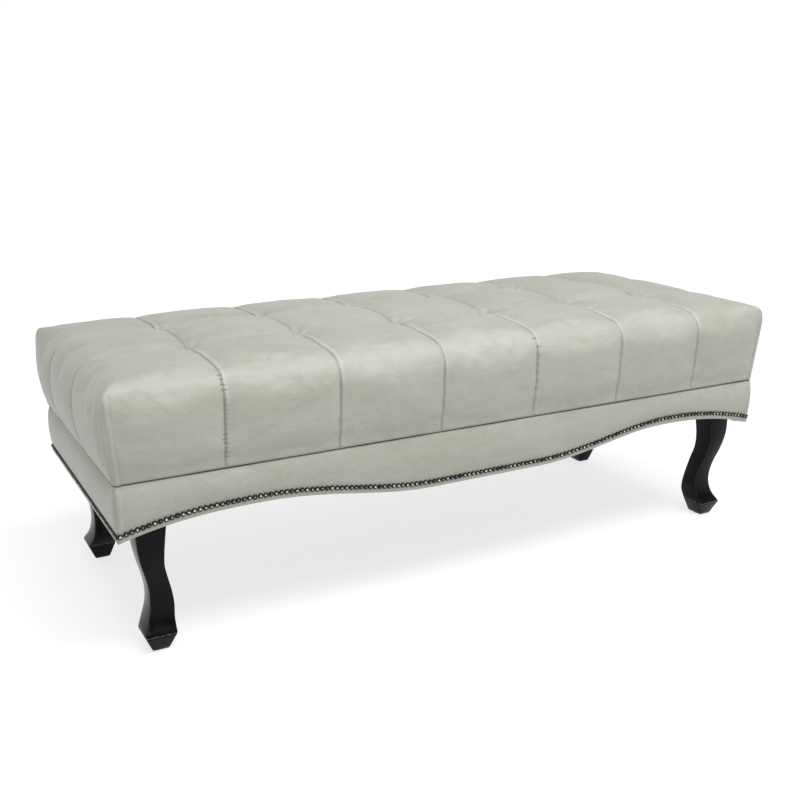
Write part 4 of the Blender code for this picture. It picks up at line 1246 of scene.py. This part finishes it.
def make_nails(side, material):
    """Domed heads in a row, each a little turned and tilted as if driven by hand."""
    turn, arched, half, face, sign = SIDES[side]
    spin = Matrix.Rotation(turn, 3, "Z")
    random = np.random.default_rng(11 + int(10 * (turn + 4)))
    points, faces, highlight_shares = [], [], []
    radius = NAIL_PITCH / 2 * NAIL_FILL
    for x, z in nail_places(half, arched, sign):
        tilt_x, tilt_z = random.uniform(-NAIL_TILT, NAIL_TILT, 2)
        middle_x = x + random.uniform(-NAIL_SHIFTS[0], NAIL_SHIFTS[0])
        middle_z = z + random.uniform(-NAIL_SHIFTS[1], NAIL_SHIFTS[1])
        # How strong this nail's painted highlight is
        highlight_strength = random.uniform(*NAIL_HIGHLIGHT_RANGE)
        start = len(points)
        for share, rise, highlight_share in NAIL_SHAPE:
            for k in range(NAIL_SIDES):
                angle = 2 * math.pi * k / NAIL_SIDES
                dx, dz = radius * share * math.cos(angle), radius * share * math.sin(angle)
                out = FIT + NAIL_HEIGHT * rise + (dx * tilt_x + dz * tilt_z) * (rise > 0)
                points.append(spin @ Vector((middle_x + dx, -face - out, middle_z + dz)))
                highlight_shares.append(highlight_share * highlight_strength)
        tip = len(points)
        points.append(spin @ Vector((middle_x, -face - FIT - NAIL_HEIGHT, middle_z)))
        highlight_shares.append(highlight_strength)
        faces += tube_faces(start, len(NAIL_SHAPE), NAIL_SIDES)
        last = tip - NAIL_SIDES
        faces += [(last + k, last + (k + 1) % NAIL_SIDES, tip) for k in range(NAIL_SIDES)]
        faces.append(tuple(range(start + NAIL_SIDES - 1, start - 1, -1)))
    nails = add_mesh("nails_" + side, points, faces, material)
    add_attribute(nails.data, "crown", highlight_shares)
    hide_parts("nail_row_" + side)


# Legs

def leg_section(height_share):
    """Offsets of the leg's four faces at a height, smooth through the profile rows."""
    rows = LEG_PROFILE_SHARES
    upper = next((i for i in range(1, len(rows)) if height_share <= rows[i][0]), len(rows) - 1)
    before, start, end, after = (rows[max(upper - 2, 0)], rows[upper - 1], rows[upper],
                                 rows[min(upper + 1, len(rows) - 1)])
    span = end[0] - start[0]
    t = (height_share - start[0]) / span
    faces = []
    for k in range(1, 5):
        slope_start = (end[k] - before[k]) / (end[0] - before[0]) * span
        slope_end = (after[k] - start[k]) / (after[0] - start[0]) * span
        faces.append((2 * t ** 3 - 3 * t ** 2 + 1) * start[k]
                     + (t ** 3 - 2 * t ** 2 + t) * slope_start
                     + (3 * t ** 2 - 2 * t ** 3) * end[k]
                     + (t ** 3 - t ** 2) * slope_end)
    return np.array(faces)


def make_leg(corner, side_x, side_y, material):
    """The S-curved leg with eased corners, its foot drawn in below the widest line."""
    foot_height = LEG_TOP_HEIGHT * FOOT_LEVEL_SHARE
    base_height = GLIDE_HEIGHT + FIT
    base = np.array(FOOT_BASE_SHARES)
    widest = leg_section(FOOT_LEVEL_SHARE)
    # The last value of each row is how pale that line is: scuffed edges, and a painted highlight
    # at the foot's widest line
    rows = [(base_height, base - LEG_BASE_BEVEL, 0.3),
            (base_height + LEG_BASE_BEVEL_HEIGHT, base, 0.8)]
    for share in LEG_FOOT_STEPS:
        rows.append((base_height + (foot_height - base_height) * share,
                     base + (widest - base) * share, 0.1))
    rows.append((foot_height, widest - LEG_FOOT_BEVEL, 1.0))
    for i in range(LEG_STEPS):
        climb = (i + 0.35) / (LEG_STEPS - 0.65)
        share = FOOT_LEVEL_SHARE + (1 - FOOT_LEVEL_SHARE) * min(1.0, climb)
        rows.append((LEG_TOP_HEIGHT * share, leg_section(share), 0.7 if i == 0 else 0.0))
    points, edges = [], []
    for height, (out_x, in_x, out_y, in_y), line_wear_and_highlight in rows:
        box = ((out_x, out_y, 0), (-in_x, out_y, 90), (-in_x, -in_y, 180), (out_x, -in_y, 270))
        for reach_x, reach_y, first in box:
            inset_x = LEG_WIDTH * reach_x - math.copysign(LEG_CORNER_ROUND, reach_x)
            inset_y = LEG_WIDTH * reach_y - math.copysign(LEG_CORNER_ROUND, reach_y)
            for degrees in LEG_CORNER_ANGLES:
                angle = math.radians(first + degrees)
                x = LEG_AXIS_X + inset_x + LEG_CORNER_ROUND * math.cos(angle)
                y = LEG_AXIS_Y + inset_y + LEG_CORNER_ROUND * math.sin(angle)
                points.append((side_x * x, side_y * y, height))
                edges.append(max(line_wear_and_highlight, 0.75 if degrees in (30, 60) else 0.15))
    ring = len(LEG_CORNER_ANGLES) * 4
    faces = tube_faces(0, len(rows), ring)
    faces.append(tuple(range(ring - 1, -1, -1)))
    faces.append(tuple(range(len(points) - ring, len(points))))
    leg = add_mesh("lacquered_leg_" + corner, points, faces, material)
    face_outwards(leg.data)
    leg.data.shade_smooth()
    leg.data.set_sharp_from_angle(angle=math.radians(LEG_SHARP_DEGREES))
    add_attribute(leg.data, "edge", edges)
    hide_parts("leg_" + corner)


# Underside

def make_dust_cloth(material):
    """Black cloth stapled under the frame, sagging a little between the cross rails."""
    half_x = RAIL_INNER_X - FIT
    half_y = RAIL_INNER_Y - FIT
    _, _, inner_x, _, inner_y = LEG_PROFILE_SHARES[-1]
    notch_x = LEG_AXIS_X - LEG_WIDTH * inner_x - DUST_COVER_CUT_CLEARANCE
    notch_y = LEG_AXIS_Y - LEG_WIDTH * inner_y - DUST_COVER_CUT_CLEARANCE
    lines_x = fill_lines([-half_x, -notch_x, notch_x, half_x], CLOTH_STEP)
    lines_y = fill_lines([-half_y, -notch_y, notch_y, half_y], CLOTH_STEP)
    rails = np.array([-half_x, -2 * TUFT_PITCH, 0.0, 2 * TUFT_PITCH, half_x])
    index = {}
    points, faces = [], []
    for i, x in enumerate(lines_x):
        bay = min(max(np.searchsorted(rails, x, side="right"), 1), len(rails) - 1)
        span = (x - rails[bay - 1]) / (rails[bay] - rails[bay - 1])
        for j, y in enumerate(lines_y):
            if abs(x) > notch_x + 1e-6 and abs(y) > notch_y + 1e-6:
                continue
            inwards = math.cos(math.pi * y / (2 * half_y))
            sag = CLOTH_SAG * math.sin(math.pi * span) * inwards
            ripple = CLOTH_RIPPLE * math.sin(x * 61.0 + 3 * y) * inwards
            index[i, j] = len(points)
            points.append((x, y, LEG_TOP_HEIGHT - DUST_COVER_THICKNESS - abs(sag) - abs(ripple)))
    for i in range(len(lines_x) - 1):
        for j in range(len(lines_y) - 1):
            corners = [(i, j), (i, j + 1), (i + 1, j + 1), (i + 1, j)]
            if all(c in index for c in corners):
                faces.append(tuple(index[c] for c in corners))
    cloth = add_mesh("dust_cloth", points, faces, material)
    bake_modifier(cloth, "SOLIDIFY", thickness=DUST_COVER_THICKNESS, offset=-1.0)
    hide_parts("dust_cover")


def make_staples(material):
    """Wire staples that hold the dust cloth to the cross rails and corner blocks."""
    places = [(x, -0.225 + 0.05 * k, k % 2)
              for x in (-2 * TUFT_PITCH, 0.0, 2 * TUFT_PITCH) for k in range(10)]
    places += [(side_x * x, side_y * y, crosswise) for side_x in (-1, 1) for side_y in (-1, 1)
               for x, y, crosswise in ((0.598, 0.180, 0), (0.590, 0.220, 1), (0.640, 0.176, 0))]
    surface = LEG_TOP_HEIGHT - DUST_COVER_THICKNESS - STAPLE_LIFT
    points, faces = [], []
    for x, y, crosswise in places:
        way = Vector((1, 0, 0)) if crosswise else Vector((0, 1, 0))
        add_stitch(points, faces, Vector((x, y, surface)), way, Vector((0, 0, -1)),
                   STAPLE_LENGTH, STAPLE_RADIUS)
    add_mesh("dust_cloth_staples", points, faces, material)


def dress_frame():
    """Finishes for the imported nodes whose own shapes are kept."""
    pine = wood_material("pine_finish", (0.660, 0.480, 0.290), (0.420, 0.260, 0.130),
                         (0.10, 1.0, 1.0), 42.0)
    cross_pine = wood_material("cross_pine_finish", (0.640, 0.460, 0.280),
                               (0.410, 0.255, 0.130), (1.0, 0.10, 1.0), 42.0)
    plywood = wood_material("plywood_finish", (0.600, 0.450, 0.290), (0.400, 0.270, 0.160),
                            (0.20, 1.0, 3.0), 30.0)
    steel = steel_material()
    finishes = {
        "rail_front": pine, "rail_back": pine, "rail_left": cross_pine, "rail_right": cross_pine,
        "cross_rail_": cross_pine, "corner_block_": pine, "seat_deck": plywood,
        "hanger_bolt_": steel, "tee_nut_": steel, "glide_": nylon_material(),
        "tuft_tie_": twine_material(),
    }
    for name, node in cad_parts.items():
        for start, finish in finishes.items():
            if name.startswith(start):
                node.data.materials.clear()
                node.data.materials.append(finish)


# Stage, light and camera

def make_stage():
    mesh = bpy.data.meshes.new("floor")
    mesh.from_pydata([(-30, -30, 0), (30, -30, 0), (30, 30, 0), (-30, 30, 0)], [], [(0, 1, 2, 3)])
    floor = add_object("floor", mesh)
    shader = Shader("floor_finish")
    reach = shader.node("VectorMath", {0: shader.coordinates}, operation="LENGTH")
    mesh.materials.append(shader.finish(
        (0.30, 0.30, 0.30, 1.0), 1.0, Specular_IOR_Level=0.0, Emission_Color=(1, 1, 1, 1),
        Emission_Strength=shader.ramp(reach.outputs["Value"], 1.0, 4.0, 0.74, 0.97)))


def make_sky():
    """A white horizon under a dimmer sky."""
    world = bpy.data.worlds.new("studio")
    bpy.context.scene.world = world
    world.use_nodes = True
    nodes, links = world.node_tree.nodes, world.node_tree.links
    place = nodes.new("ShaderNodeTexCoord")
    split = nodes.new("ShaderNodeSeparateXYZ")
    links.new(place.outputs["Generated"], split.inputs[0])
    sky = nodes.new("ShaderNodeMapRange")
    sky.interpolation_type = "SMOOTHSTEP"
    for name, value in (("From Min", 0.14), ("From Max", 0.40), ("To Min", 1.0), ("To Max", 0.45)):
        sky.inputs[name].default_value = value
    links.new(split.outputs["Z"], sky.inputs["Value"])
    links.new(sky.outputs["Result"], nodes["Background"].inputs["Color"])
    nodes["Background"].inputs["Strength"].default_value = 1.0


def make_key_light():
    """One wide softbox above and in front."""
    light = bpy.data.lights.new("key_box", "AREA")
    light.shape = "RECTANGLE"
    light.size, light.size_y = KEY_SIZE
    light.energy = KEY_POWER
    light.color = KEY_COLOUR
    lamp = add_object("key_box", light)
    lamp.location = KEY_PLACE
    way = Vector(KEY_AIM) - Vector(KEY_PLACE)
    lamp.rotation_euler = way.to_track_quat("-Z", "Y").to_euler()


def make_camera():
    data = bpy.data.cameras.new("camera")
    data.lens = CAMERA_LENS
    data.sensor_width = 36.0
    camera = add_object("camera", data)
    turn = (Matrix.Rotation(-math.radians(CAMERA_YAW_DEGREES), 4, "Z")
            @ Matrix.Rotation(math.radians(90 - CAMERA_PITCH_DEGREES), 4, "X")
            @ Matrix.Rotation(math.radians(CAMERA_ROLL_DEGREES), 4, "Z"))
    camera.matrix_world = Matrix.Translation(CAMERA_PLACE) @ turn
    bpy.context.scene.camera = camera


make_camera()
make_stage()
make_sky()
make_key_light()
bpy.context.scene.view_settings.view_transform = "Standard"

leather = leather_material()
thread = thread_material("thread_finish", (0.200, 0.200, 0.160), (0.340, 0.340, 0.290))
# Darker thread: its colour is also painted shade for the puckers across the seam
thread_and_shade = thread_material("thread_and_shade_finish", (0.105, 0.105, 0.083), (0.165, 0.165, 0.132))
nail_finish = nail_material()
lacquer = lacquer_material()

seat_cushion = make_cushion(leather)
seat_tree = BVHTree.FromObject(seat_cushion, bpy.context.evaluated_depsgraph_get())
make_seat_stitches(seat_tree, thread)
make_cross_stitches(seat_tree, thread_and_shade)
for side_name in SIDES:
    make_apron(side_name, leather)
    make_nails(side_name, nail_finish)
for corner_name, corner_x, corner_y in CORNERS:
    make_leg(corner_name, corner_x, corner_y, lacquer)
make_dust_cloth(dust_cloth_material())
make_staples(steel_material())
dress_frame()
